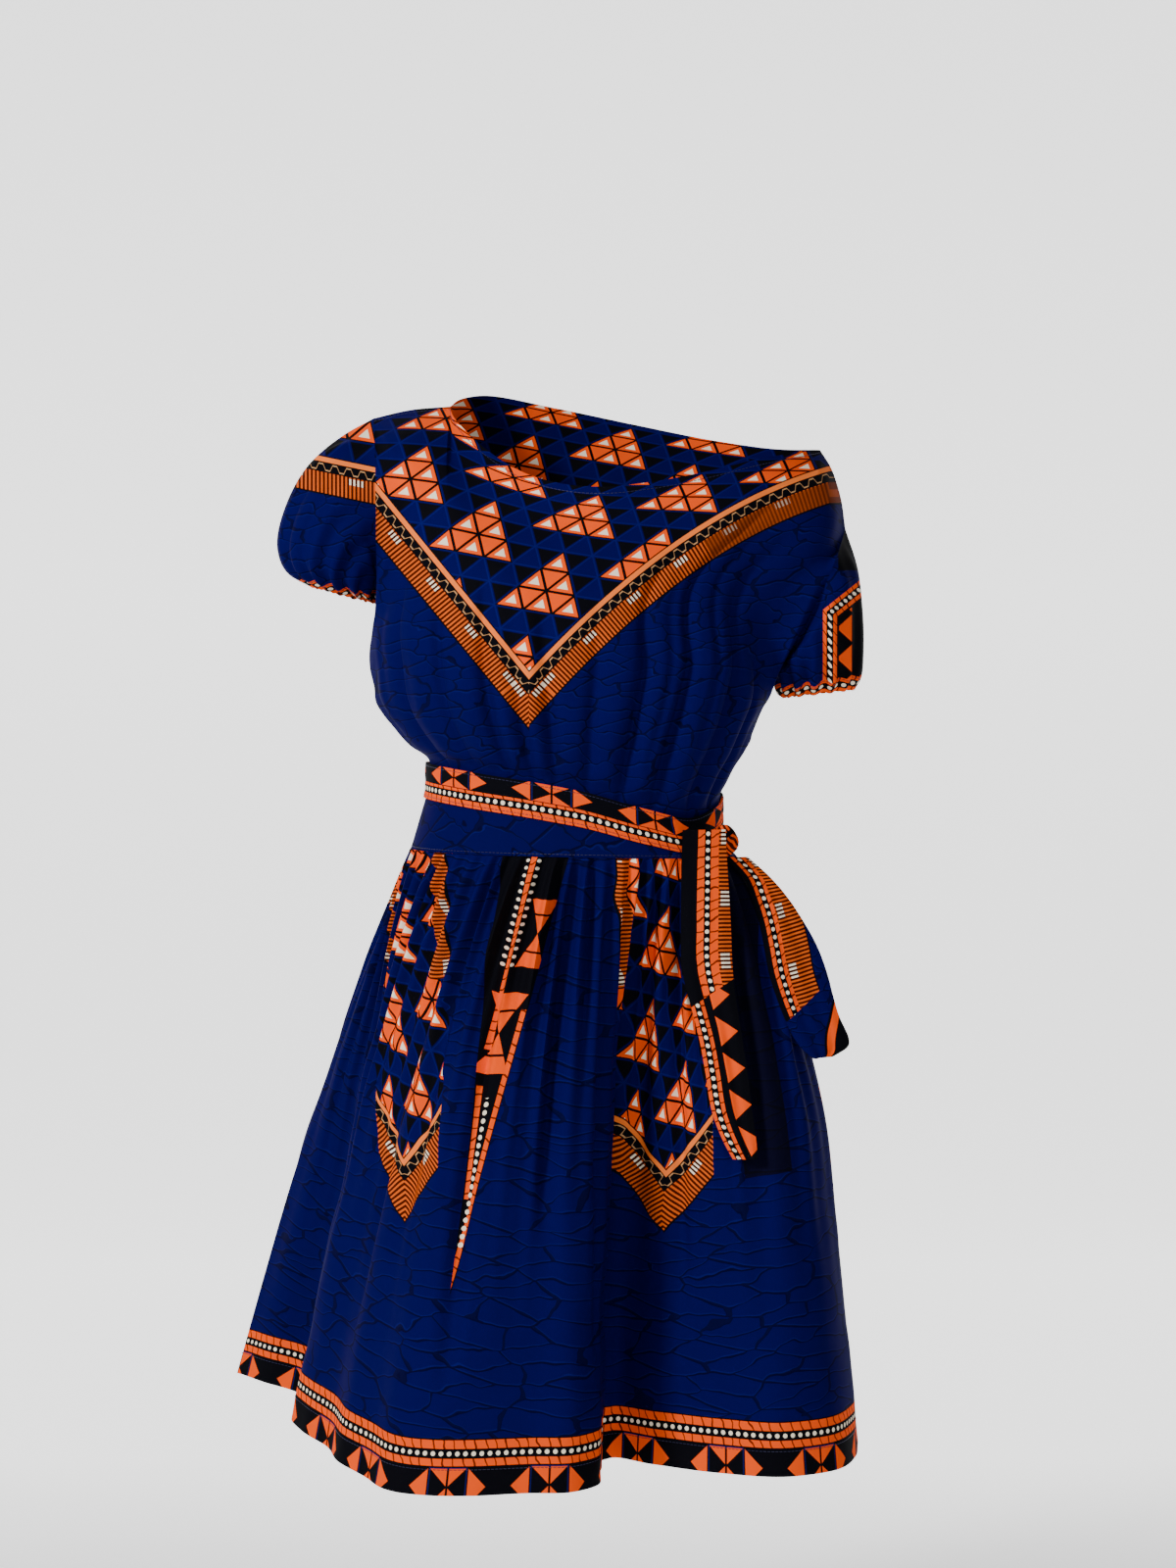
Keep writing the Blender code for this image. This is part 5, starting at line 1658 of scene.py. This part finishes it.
def left_sleeve_print():
    ink = Ink("blue_wax_print_left_sleeve")
    x, y = ink.map("Seen")
    hem_x, hem_y = ink.map("Hem")
    colour = crackle(ink, x, y, *SLEEVE_CELLS)
    colour = ink.paint(colour, (x > DARK_PATCH[0]) * (y > DARK_PATCH[1]), BLACK)
    top = (CORNER_TOP[1] + (x - CORNER_TOP[0]) * CORNER_TOP[2] - y) * CORNER_TILT
    down = ink.low(top, x - CORNER_SIDE)
    colour = border(ink, colour, down, y + x, CORNER_ROWS)
    peak = abs(y % PEAK_PITCH - PEAK_PITCH / 2)
    orange = (down > PEAKS_FROM) * (peak < (x - CORNER_SIDE - PEAKS_INSET) * PEAK_SLOPE)
    colour = ink.paint(colour, orange * (x < CORNER_SIDE + PEAKS_END), ORANGE)
    colour = border(ink, colour, hem_y, hem_x, CUFF_ROWS)
    return cotton(ink, colour, x, y)


right_sleeve_cotton = right_sleeve_print()
left_sleeve_cotton = left_sleeve_print()
print("sleeve prints", len(left_sleeve_cotton.node_tree.nodes), "nodes")

# %% [markdown]
# The skirt's print is one tall V after another round the hips, each hanging from the waist with the comb
# outermost, then the squiggle, the pale line and a field of triangles. A narrow dark wedge hangs between two
# of them in front. Round the hem runs the widest border: bricks, dots, bricks, and a black row with a square
# cut crosswise between two triangles. The hem border follows the hem's own map, so it stays level with it.

# %% Skirt print
SKIRT_CELLS = (50.0, 14.0)
V_TIP_DOWN = 315.0
V_MIDDLE = 76.7
V_REPEAT = 225.6
V_HALF = 41.0
V_SLANT = (0.64, 0.77)
V_WANDER = 7.0
V_WANDER_OVER = 40.0
V_ROWS = (
    Row(-1.4, 0.0, "plain"),
    Row(0.0, 21.0, "turned comb"),
    Row(21.0, 29.0, "squiggle"),
    Row(29.0, 32.6, "line"),
    Row(32.6, 33.6, "plain"),
)
V_SIDE_ROWS = (
    Row(-1.4, 0.0, "plain"),
    Row(0.0, 11.0, "comb"),
)
V_SIDE_END = 110.0
V_FIRST = -262.0
V_FIELD = (-8.0, 93.6)
SKIRT_SLANT = Slant(11.5, -3.6, 9.0, 18.0)

# The dark wedge in front: its two edges as a start and a slope, and the slanted line of bricks inside it
WEDGE_LEFT = (-58.7, -0.117)
WEDGE_RIGHT = (-4.0, -0.265)
WEDGE_RIGHT_TILT = 0.966
WEDGE_LINE = (-32.0, -0.245)
WEDGE_ROWS = (
    Row(0.8, 4.6, "bricks"),
)
WEDGE_LINE_ROWS = (
    Row(-7.0, -2.4, "dots"),
    Row(-2.4, 2.4, "bricks"),
    Row(2.4, 7.0, "dots"),
)

# From where to where down the wedge each of its parts runs
WEDGE_DOTS_END = 95.0
WEDGE_LINE_END = 165.0
WEDGE_LEFT_BRICKS = (195.0, 290.0)
WEDGE_RIGHT_BRICKS = (130.0, 368.0)
WEDGE_DOTS = (205.0, 330.0)
WEDGE_DOT = 4.6
WEDGE_MOTIF_SLANT = 0.25
Motif = namedtuple("Motif", "x y across along")
WEDGE_MOTIFS = (
    Motif(-30.0, 66.0, 11.0, 29.0),
    Motif(-61.0, 151.0, 15.0, 34.0),
)

# The painted shadow beside the sash's long end: a black wedge laid over the print for the shade there
PAINTED_SHADOW_LEFT = (118.0, 0.10)
PAINTED_SHADOW_RIGHT = (150.0, 0.125)
PAINTED_SHADOW_END = 272.0
PAINTED_SHADOW_PART = 0.85
HEM_ROWS = (
    Row(-1.0, 24.0, "plain"),
    Row(24.0, 30.0, "bricks"),
    Row(30.0, 38.0, "dots"),
    Row(38.0, 45.0, "bricks"),
    Row(45.0, 46.2, "plain"),
)
HEM_MOTIF_UP = 7.0
HEM_MOTIF_END = 23.0

# A motif: how often it comes, its square's half width, the gap of its cut, its frame and its flanks
MOTIF_PITCH = 85.0
MOTIF_SQUARE = 15.0
MOTIF_CUT = 0.9
MOTIF_FRAME = 16.0
MOTIF_FRAME_PART = 0.6
MOTIF_FLANK = (17.0, 32.0)
CROSS_SPLIT = (0.52, 0.58)


def hem_motifs(ink, below, along, up, where=1.0):
    """A square cut crosswise, with a triangle pointing out on each side, once every pitch."""
    aside = (along + MOTIF_PITCH / 2) % MOTIF_PITCH - MOTIF_PITCH / 2
    out = abs(aside)
    rise = abs(up)
    square = (out < MOTIF_SQUARE) * (rise < MOTIF_SQUARE) * (rise > out) * (out > MOTIF_CUT)
    flank = ink.between(out, *MOTIF_FLANK) * (rise < MOTIF_FLANK[1] - out)
    frame = ink.between(ink.high(out, rise), MOTIF_SQUARE, MOTIF_FRAME)
    colour = ink.paint(below, (square + flank) * where, ORANGE)
    return ink.paint(colour, frame * where * MOTIF_FRAME_PART, PALE_BLUE)


def crossed_square(ink, across, along, reach_across, reach_along):
    """Where a tall square cut crosswise is orange: its two ends, each split in two."""
    out = abs(across) / reach_across
    rise = abs(along) / reach_along
    split = ink.between(rise, *CROSS_SPLIT)
    return (rise < 1.0) * (out < 1.0) * (out < rise) * (1.0 - split)


def wedge(ink, below, x, y):
    """The dark wedge: bricks and dots on black, and two motifs."""
    left = x - WEDGE_LEFT[0] - y * WEDGE_LEFT[1]
    right = (y * WEDGE_RIGHT[1] + WEDGE_RIGHT[0] - x) * WEDGE_RIGHT_TILT
    inside = (left > 0.0) * (right > 0.0)
    colour = ink.paint(below, inside, BLACK)
    line = x - WEDGE_LINE[0] - y * WEDGE_LINE[1]
    colour = border(ink, colour, line, y, WEDGE_LINE_ROWS, inside * (y < WEDGE_DOTS_END))
    below_dots = inside * ink.between(y, WEDGE_DOTS_END, WEDGE_LINE_END)
    colour = border(ink, colour, line, y, WEDGE_LINE_ROWS[1:2], below_dots)
    colour = border(ink, colour, left, y, WEDGE_ROWS, inside * ink.between(y, *WEDGE_LEFT_BRICKS))
    colour = border(ink, colour, right, y, WEDGE_ROWS, inside * ink.between(y, *WEDGE_RIGHT_BRICKS))
    middle = (left - right) * 0.5
    aside = y % DOT_PITCH - DOT_PITCH / 2
    dots = (middle * middle + aside * aside < WEDGE_DOT) * inside * ink.between(y, *WEDGE_DOTS)
    colour = ink.paint(colour, dots, CREAM)
    for motif in WEDGE_MOTIFS:
        down = y - motif.y
        across = x - motif.x + down * WEDGE_MOTIF_SLANT
        orange = crossed_square(ink, across, down, motif.across, motif.along)
        colour = ink.paint(colour, orange * inside, ORANGE)
    return colour


def skirt_print():
    ink = Ink("blue_wax_print_skirt")
    x, y = ink.map("Print")
    hem_x, hem_y = ink.map("Hem")
    colour = crackle(ink, x, y, *SKIRT_CELLS)
    # Painted shadow: black laid over the print in a wedge beside the sash's long end, for the shade there
    painted_shadow = (x - PAINTED_SHADOW_LEFT[0] - y * PAINTED_SHADOW_LEFT[1] > 0.0) * (y * PAINTED_SHADOW_RIGHT[1] + PAINTED_SHADOW_RIGHT[0] - x > 0.0)
    colour = ink.paint(colour, painted_shadow * (y < PAINTED_SHADOW_END) * PAINTED_SHADOW_PART, BLACK)
    wander = (ink.noise(x, y, V_WANDER_OVER) - 0.5) * V_WANDER
    aside = (x + wander - V_MIDDLE + V_REPEAT / 2) % V_REPEAT - V_REPEAT / 2
    out = abs(aside)
    rise = V_TIP_DOWN - y
    arm = rise * V_SLANT[0] - out * V_SLANT[1]
    side = V_HALF - out
    shown = x > V_FIRST
    inside = (arm > 0.0) * (side > 0.0) * shown
    colour = triangles(ink, colour, inside, aside - V_FIELD[0], rise - V_FIELD[1], SKIRT_SLANT)
    colour = border(ink, colour, side, rise, V_SIDE_ROWS, (y < V_SIDE_END) * shown)
    along = rise * V_SLANT[1] + out * V_SLANT[0]
    colour = border(ink, colour, arm, along, V_ROWS, (side > 0.0) * shown)
    colour = wedge(ink, colour, x, y)
    colour = border(ink, colour, hem_y, hem_x, HEM_ROWS)
    colour = hem_motifs(ink, colour, hem_x, hem_y - HEM_MOTIF_UP, hem_y < HEM_MOTIF_END)
    return cotton(ink, colour, x, y)


skirt_cotton = skirt_print()
print("skirt print", len(skirt_cotton.node_tree.nodes), "nodes")

# %% [markdown]
# The waistband is cut from a plainer part of the cloth, with large cells on a night blue. The sash is a strip
# of border: round the waist its bricks and dots run along its lower edge, with the motifs above them. Its
# ends show the border's other rows, turned to hang down.

# %% Waistband and sash prints
WAIST_SLANT = (0.5, 0.15)
WAIST_CELLS = (36.0, 20.0)
WRAP_ROWS = (
    Row(-1.0, 5.6, "bricks"),
    Row(5.6, 12.0, "dots"),
    Row(12.0, 14.4, "bricks"),
    Row(14.4, 40.0, "plain"),
)
WRAP_MOTIF = 156.0
WRAP_ACROSS = 0.924
WRAP_UP = 1.9
WRAP_MOTIF_DOWN = 23.0
WRAP_MOTIF_FROM = 15.0
LONG_ROWS = (
    Row(-4.0, 13.5, "plain"),
    Row(13.5, 19.5, "bricks"),
    Row(19.5, 25.0, "dots"),
    Row(25.0, 32.0, "bricks"),
    Row(32.0, 60.0, "comb"),
)
LONG_END_ROWS = (
    Row(-4.0, 3.4, "bricks"),
    Row(3.4, 9.0, "dots"),
    Row(9.0, 12.4, "bricks"),
    Row(12.4, 60.0, "plain"),
)
LONG_TURN = 150.0
LONG_TURN_SLANT = 0.55
LONG_PEAKS = (19.0, 36.0)
LONG_PEAK_PITCH = 31.0
LONG_PEAK_SLOPE = 0.75
SHORT_ROWS = (
    Row(-4.0, 5.0, "plain"),
    Row(5.0, 8.5, "bricks"),
    Row(8.5, 14.0, "dots"),
    Row(14.0, 17.5, "bricks"),
    Row(17.5, 40.0, "comb"),
    Row(40.0, 41.2, "plain"),
)
SHORT_CELLS = (24.0, 12.0)
SHORT_TURN = 152.0
SHORT_TURN_SLANT = 0.45
SHORT_CORNER = 166.0
SHORT_CORNER_SLANT = 0.8
SHORT_CORNER_LINE = (3.0, 12.0)


def waistband_print():
    ink = Ink("night_blue_waistband")
    x, y = ink.map("Cloth")
    across = x + y * WAIST_SLANT[0]
    down = y - x * WAIST_SLANT[1]
    colour = crackle(ink, across, down, *WAIST_CELLS, WAIST_BLUE)
    return cotton(ink, colour, x, y)


def wrap_print():
    ink = Ink("border_print_wrap")
    x, y = ink.map("Cloth")
    colour = border(ink, BLACK, y, x, WRAP_ROWS)
    across = (x - WRAP_MOTIF) * WRAP_ACROSS
    up = (y - WRAP_MOTIF_DOWN) * WRAP_UP
    colour = hem_motifs(ink, colour, across, up, y > WRAP_MOTIF_FROM)
    return cotton(ink, colour, x, y)


def long_tail_print():
    ink = Ink("border_print_long_tail")
    x, y = ink.map("Edge")
    end = y + x * LONG_TURN_SLANT > LONG_TURN
    colour = border(ink, BLACK, x, y, LONG_ROWS)
    colour = border(ink, colour, x, y, LONG_END_ROWS, end)
    peak = abs(y % LONG_PEAK_PITCH - LONG_PEAK_PITCH / 2)
    motif = end * ink.between(x, *LONG_PEAKS) * (peak < (LONG_PEAKS[1] - x) * LONG_PEAK_SLOPE)
    colour = ink.paint(colour, motif, ORANGE)
    return cotton(ink, colour, x, y)


def short_tail_print():
    ink = Ink("border_print_short_tail")
    x, y = ink.map("Edge")
    colour = crackle(ink, x, y, *SHORT_CELLS)
    colour = border(ink, colour, x, y, SHORT_ROWS, y + x * SHORT_TURN_SLANT < SHORT_TURN)
    corner = x + y * SHORT_CORNER_SLANT - SHORT_CORNER
    colour = ink.paint(colour, corner > 0.0, BLACK)
    colour = ink.paint(colour, ink.between(corner, *SHORT_CORNER_LINE), ORANGE)
    return cotton(ink, colour, x, y)


waistband_cotton = waistband_print()
wrap_cotton = wrap_print()
long_tail_cotton = long_tail_print()
short_tail_cotton = short_tail_print()

# %% [markdown]
# The knot shows the comb of the border, pulled round with the folds. The stripes are worked out from the
# place of a point in space, as a lump has no flat map.

# %% Knot print
KNOT_TOOTH = 3.8
KNOT_BEND = 7.0
KNOT_BEND_OVER = 14.0
KNOT_RUN = (0.8, 0.6)
KNOT_BLACK = 5.0
KNOT_BLACK_PITCH = 24.0
KNOT_BLACK_SLANT = 0.7


def knot_print():
    ink = Ink("border_print_knot")
    node = ink.nodes.new("ShaderNodeTexCoord")
    split = ink.nodes.new("ShaderNodeSeparateXYZ")
    ink.links.new(node.outputs["Object"], split.inputs[0])
    x = Value(ink, split.outputs[0]) * 1000.0
    z = Value(ink, split.outputs[2]) * 1000.0
    bend = ink.noise(x, z, KNOT_BEND_OVER) * KNOT_BEND
    run = x * KNOT_RUN[0] + z * KNOT_RUN[1] + bend
    colour = ink.paint(BROWN, (run / KNOT_TOOTH) % 1.0 < TOOTH_PART, ORANGE)
    part = z - x * KNOT_BLACK_SLANT
    colour = ink.paint(colour, part % KNOT_BLACK_PITCH < KNOT_BLACK, BLACK)
    return cotton(ink, colour, x, z)


knot_cotton = knot_print()
print("sash prints made")

# %% [markdown]
# The edges are turned in and stitched by machine, so a line of short, even stitches runs beside the neck,
# both cuffs, the hem and the waist seams. A stitch follows a path and repeats, which is what Geometry Nodes
# are for: the path is cut into even steps, a small rod is laid along it at each step, and the rods become
# mesh.

# %% Stitches
STITCH_PITCH = 0.0034
STITCH_LENGTH = 0.0024
STITCH_RADIUS = 0.00028
STITCH_SIDES = 5
STITCH_LIFT = 0.0001
STITCH_INSET = 0.0022
NECK_INSET = 0.006
CUFF_INSET = 0.0125
HEM_INSET = 0.021


def stitch_nodes():
    """Nodes that turn a path into a line of stitches."""
    group = bpy.data.node_groups.new("line_of_stitches", "GeometryNodeTree")
    for name, kind in (
        ("Path", "NodeSocketGeometry"),
        ("Pitch", "NodeSocketFloat"),
        ("Length", "NodeSocketFloat"),
        ("Radius", "NodeSocketFloat"),
        ("Thread", "NodeSocketMaterial"),
    ):
        group.interface.new_socket(name, in_out="INPUT", socket_type=kind)
    group.interface.new_socket("Stitches", in_out="OUTPUT", socket_type="NodeSocketGeometry")
    new = group.nodes.new
    start = new("NodeGroupInput")
    end = new("NodeGroupOutput")
    even = new("GeometryNodeResampleCurve")
    even.mode = "LENGTH"
    rod = new("GeometryNodeMeshCylinder")
    rod.inputs["Vertices"].default_value = STITCH_SIDES
    tangent = new("GeometryNodeInputTangent")
    turn = new("FunctionNodeAlignRotationToVector")
    turn.axis = "Z"
    lay = new("GeometryNodeInstanceOnPoints")
    real = new("GeometryNodeRealizeInstances")
    dye = new("GeometryNodeSetMaterial")
    for source, target in (
        (start.outputs["Path"], even.inputs["Curve"]),
        (start.outputs["Pitch"], even.inputs["Length"]),
        (start.outputs["Length"], rod.inputs["Depth"]),
        (start.outputs["Radius"], rod.inputs["Radius"]),
        (tangent.outputs[0], turn.inputs["Vector"]),
        (even.outputs[0], lay.inputs["Points"]),
        (rod.outputs["Mesh"], lay.inputs["Instance"]),
        (turn.outputs[0], lay.inputs["Rotation"]),
        (lay.outputs[0], real.inputs[0]),
        (real.outputs[0], dye.inputs["Geometry"]),
        (start.outputs["Thread"], dye.inputs["Material"]),
        (dye.outputs[0], end.inputs["Stitches"]),
    ):
        group.links.new(source, target)
    return group


THREAD_BLUE = shade(16, 16, 62)
THREAD_ROUGHNESS = 0.55
THREAD_TWIST = 900.0
THREAD_BUMP = 0.00005


def thread_material():
    """Dark blue sewing thread, a little shinier than the cotton, with its twist as a fine bump."""
    ink = Ink("dark_blue_thread")
    coords = ink.nodes.new("ShaderNodeTexCoord")
    twist = ink.nodes.new("ShaderNodeTexWave")
    twist.inputs["Scale"].default_value = THREAD_TWIST
    bump = ink.nodes.new("ShaderNodeBump")
    bump.inputs["Distance"].default_value = THREAD_BUMP
    ink.links.new(coords.outputs["Object"], twist.inputs["Vector"])
    ink.links.new(twist.outputs["Fac"], bump.inputs["Height"])
    ink.links.new(bump.outputs["Normal"], ink.shader.inputs["Normal"])
    ink.shader.inputs["Base Color"].default_value = THREAD_BLUE
    ink.shader.inputs["Roughness"].default_value = THREAD_ROUGHNESS
    return ink.material


STITCHES = stitch_nodes()
THREAD = thread_material()


def stitch_line(name, lines, closed):
    """Stitches along these lines of points, as one plain mesh."""
    curve = bpy.data.curves.new(name, "CURVE")
    curve.dimensions = "3D"
    for line in lines:
        spline = curve.splines.new("POLY")
        spline.points.add(len(line) - 1)
        spline.points.foreach_set("co", np.concatenate([line, np.ones((len(line), 1))], axis=1).ravel())
        spline.use_cyclic_u = closed
    path = put(name + "_path", curve)
    modifier = path.modifiers.new("stitches", "NODES")
    modifier.node_group = STITCHES
    values = {"Pitch": STITCH_PITCH, "Length": STITCH_LENGTH, "Radius": STITCH_RADIUS, "Thread": THREAD}
    for socket in STITCHES.interface.items_tree:
        if socket.name in values:
            modifier[socket.identifier] = values[socket.name]
    evaluated = path.evaluated_get(bpy.context.evaluated_depsgraph_get())
    mesh = bpy.data.meshes.new_from_object(evaluated)
    piece = put(name, mesh)
    bpy.data.objects.remove(path)
    print(name, len(mesh.polygons), "faces")
    return piece


def line_at(grid, distance, outward, closed=False):
    """A line on the cloth at a distance from its last row (or, below zero, from its first row)."""
    rows = grid if distance < 0 else grid[::-1]
    length = lengths(rows)
    lifted = rows + (grid_normals(grid, closed) * outward * STITCH_LIFT)[::1 if distance < 0 else -1]
    return np.array([
        [np.interp(abs(distance), length[:, place], lifted[:, place, axis]) for axis in range(3)]
        for place in range(grid.shape[1])
    ])


neck_columns = slice(shoulder_right, shoulder_left + 1)
neck_lines = [line_at(bodice[side][:, neck_columns], NECK_INSET, side) for side in (1, -1)]
neck_stitches = stitch_line("neck_stitches", neck_lines, False)
hem_front_stitches = stitch_line("hem_front_stitches", [line_at(skirt[1], HEM_INSET, -1)], False)
hem_back_stitches = stitch_line("hem_back_stitches", [line_at(skirt[-1], HEM_INSET, 1)], False)
right_cuff_line = line_at(right_grid[:, :-1], CUFF_INSET, -1, True)
cuff_right_stitches = stitch_line("cuff_right_stitches", [right_cuff_line], True)
left_cuff_line = line_at(left_grid[:, :-1], CUFF_INSET, 1, True)
cuff_left_stitches = stitch_line("cuff_left_stitches", [left_cuff_line], True)
both_edges = (-STITCH_INSET, STITCH_INSET)
band_lines = [line_at(band[:, :-1], distance, 1) for distance in both_edges]
band_stitches = stitch_line("waistband_stitches", band_lines, True)
sash_lines = [line_at(sash[:, :-1], distance, 1) for distance in both_edges]
sash_stitches = stitch_line("sash_stitches", sash_lines, True)

# %% [markdown]
# Each piece now takes its print, rides on the part's one body and takes the place of its solid.

# %% Pieces on the frame
Piece = namedtuple("Piece", "cloth node slot print")
PIECES = (
    Piece(bodice_front, "bodice_front", "blue_wax_print", bodice_cotton),
    Piece(bodice_back, "bodice_back", "blue_wax_print", bodice_cotton),
    Piece(sleeve_right, "sleeve_right", "blue_wax_print", right_sleeve_cotton),
    Piece(sleeve_left, "sleeve_left", "blue_wax_print", left_sleeve_cotton),
    Piece(waistband, "waistband", "waistband_blue", waistband_cotton),
    Piece(skirt_front, "skirt_front", "blue_wax_print", skirt_cotton),
    Piece(skirt_back, "skirt_back", "blue_wax_print", skirt_cotton),
    Piece(sash_wrap, "sash_wrap", "border_print", wrap_cotton),
    Piece(knot, "sash_knot", "border_print", knot_cotton),
    Piece(tail_long, "sash_tail_long", "border_print", long_tail_cotton),
    Piece(tail_short, "sash_tail_short", "border_print", short_tail_cotton),
)
for piece in PIECES:
    piece.cloth.data.materials.append(piece.print)
    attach(piece.cloth, "root")
    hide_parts(piece.node)

Seam = namedtuple("Seam", "stitches slot")
SEAMS = (
    Seam(neck_stitches, "blue_wax_print"),
    Seam(hem_front_stitches, "blue_wax_print"),
    Seam(hem_back_stitches, "blue_wax_print"),
    Seam(cuff_right_stitches, "blue_wax_print"),
    Seam(cuff_left_stitches, "blue_wax_print"),
    Seam(band_stitches, "waistband_blue"),
    Seam(sash_stitches, "border_print"),
)
for seam in SEAMS:
    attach(seam.stitches, "root")

# %% [markdown]
# The dress stands before a pale, seamless sweep of paper, as in a small studio: a level floor that bends up
# into a wall, with no line between them. A key light from the left draws the folds, and a large soft fill
# keeps their shadows gentle.

# %% Stage
FLOOR = -1.25
SWEEP_HALF = 6.0
SWEEP_FRONT = -5.0
SWEEP_BACK = 2.6
SWEEP_RADIUS = 1.2
SWEEP_TOP = 5.0

# The paper glows a little behind the dress, so that it looks white there, and not in front of it
GLOW = 1.4
GLOW_FROM = 0.3
GLOW_TO = 1.3
WHITE = (1, 1, 1, 1)
PAPER_WHITE = (0.94, 0.94, 0.94, 1)
PAPER_ROUGHNESS = 0.9
AIR_LIGHT = 0.22


def sweep():
    """A paper sweep, its cross-section drawn once and carried across."""
    bend = [(SWEEP_BACK + SWEEP_RADIUS * np.sin(turn), FLOOR + SWEEP_RADIUS * (1.0 - np.cos(turn)))
            for turn in np.linspace(0.0, np.pi / 2, 16)]
    line = [(SWEEP_FRONT, FLOOR)] + bend + [(SWEEP_BACK + SWEEP_RADIUS, SWEEP_TOP)]
    points = [(side, y, z) for y, z in line for side in (-SWEEP_HALF, SWEEP_HALF)]
    faces = [(2 * k, 2 * k + 1, 2 * k + 3, 2 * k + 2) for k in range(len(line) - 1)]
    mesh = bpy.data.meshes.new("paper_sweep")
    mesh.from_pydata([tuple(map(float, point)) for point in points], [], faces)
    mesh.shade_smooth()
    paper = bpy.data.materials.new("pale_paper")
    paper.use_nodes = True
    shader = paper.node_tree.nodes["Principled BSDF"]
    shader.inputs["Base Color"].default_value = PAPER_WHITE
    shader.inputs["Roughness"].default_value = PAPER_ROUGHNESS
    shader.inputs["Emission Color"].default_value = WHITE
    coords = paper.node_tree.nodes.new("ShaderNodeTexCoord")
    split = paper.node_tree.nodes.new("ShaderNodeSeparateXYZ")
    glow = paper.node_tree.nodes.new("ShaderNodeMapRange")
    for name, value in (("From Min", GLOW_FROM), ("From Max", GLOW_TO), ("To Min", 0.0), ("To Max", GLOW)):
        glow.inputs[name].default_value = value
    link = paper.node_tree.links.new
    link(coords.outputs["Object"], split.inputs[0])
    link(split.outputs[1], glow.inputs["Value"])
    link(glow.outputs[0], shader.inputs["Emission Strength"])
    mesh.materials.append(paper)
    return put("paper_sweep", mesh)


def soft_light(name, place, aim, size, power):
    data = bpy.data.lights.new(name, "AREA")
    data.size = size
    data.energy = power
    light = put(name, data)
    light.location = place
    light.rotation_euler = (Vector(aim) - Vector(place)).to_track_quat("-Z", "Y").to_euler()


sweep()
world = bpy.data.worlds.new("studio")
bpy.context.scene.world = world
world.use_nodes = True
world.node_tree.nodes["Background"].inputs["Color"].default_value = WHITE
world.node_tree.nodes["Background"].inputs["Strength"].default_value = AIR_LIGHT
soft_light("key", place=(-1.9, -1.9, 0.9), aim=(0, 0, -0.45), size=0.5, power=84)
soft_light("fill", place=(1.0, -2.8, 0.3), aim=(0, 0, -0.5), size=1.0, power=19)
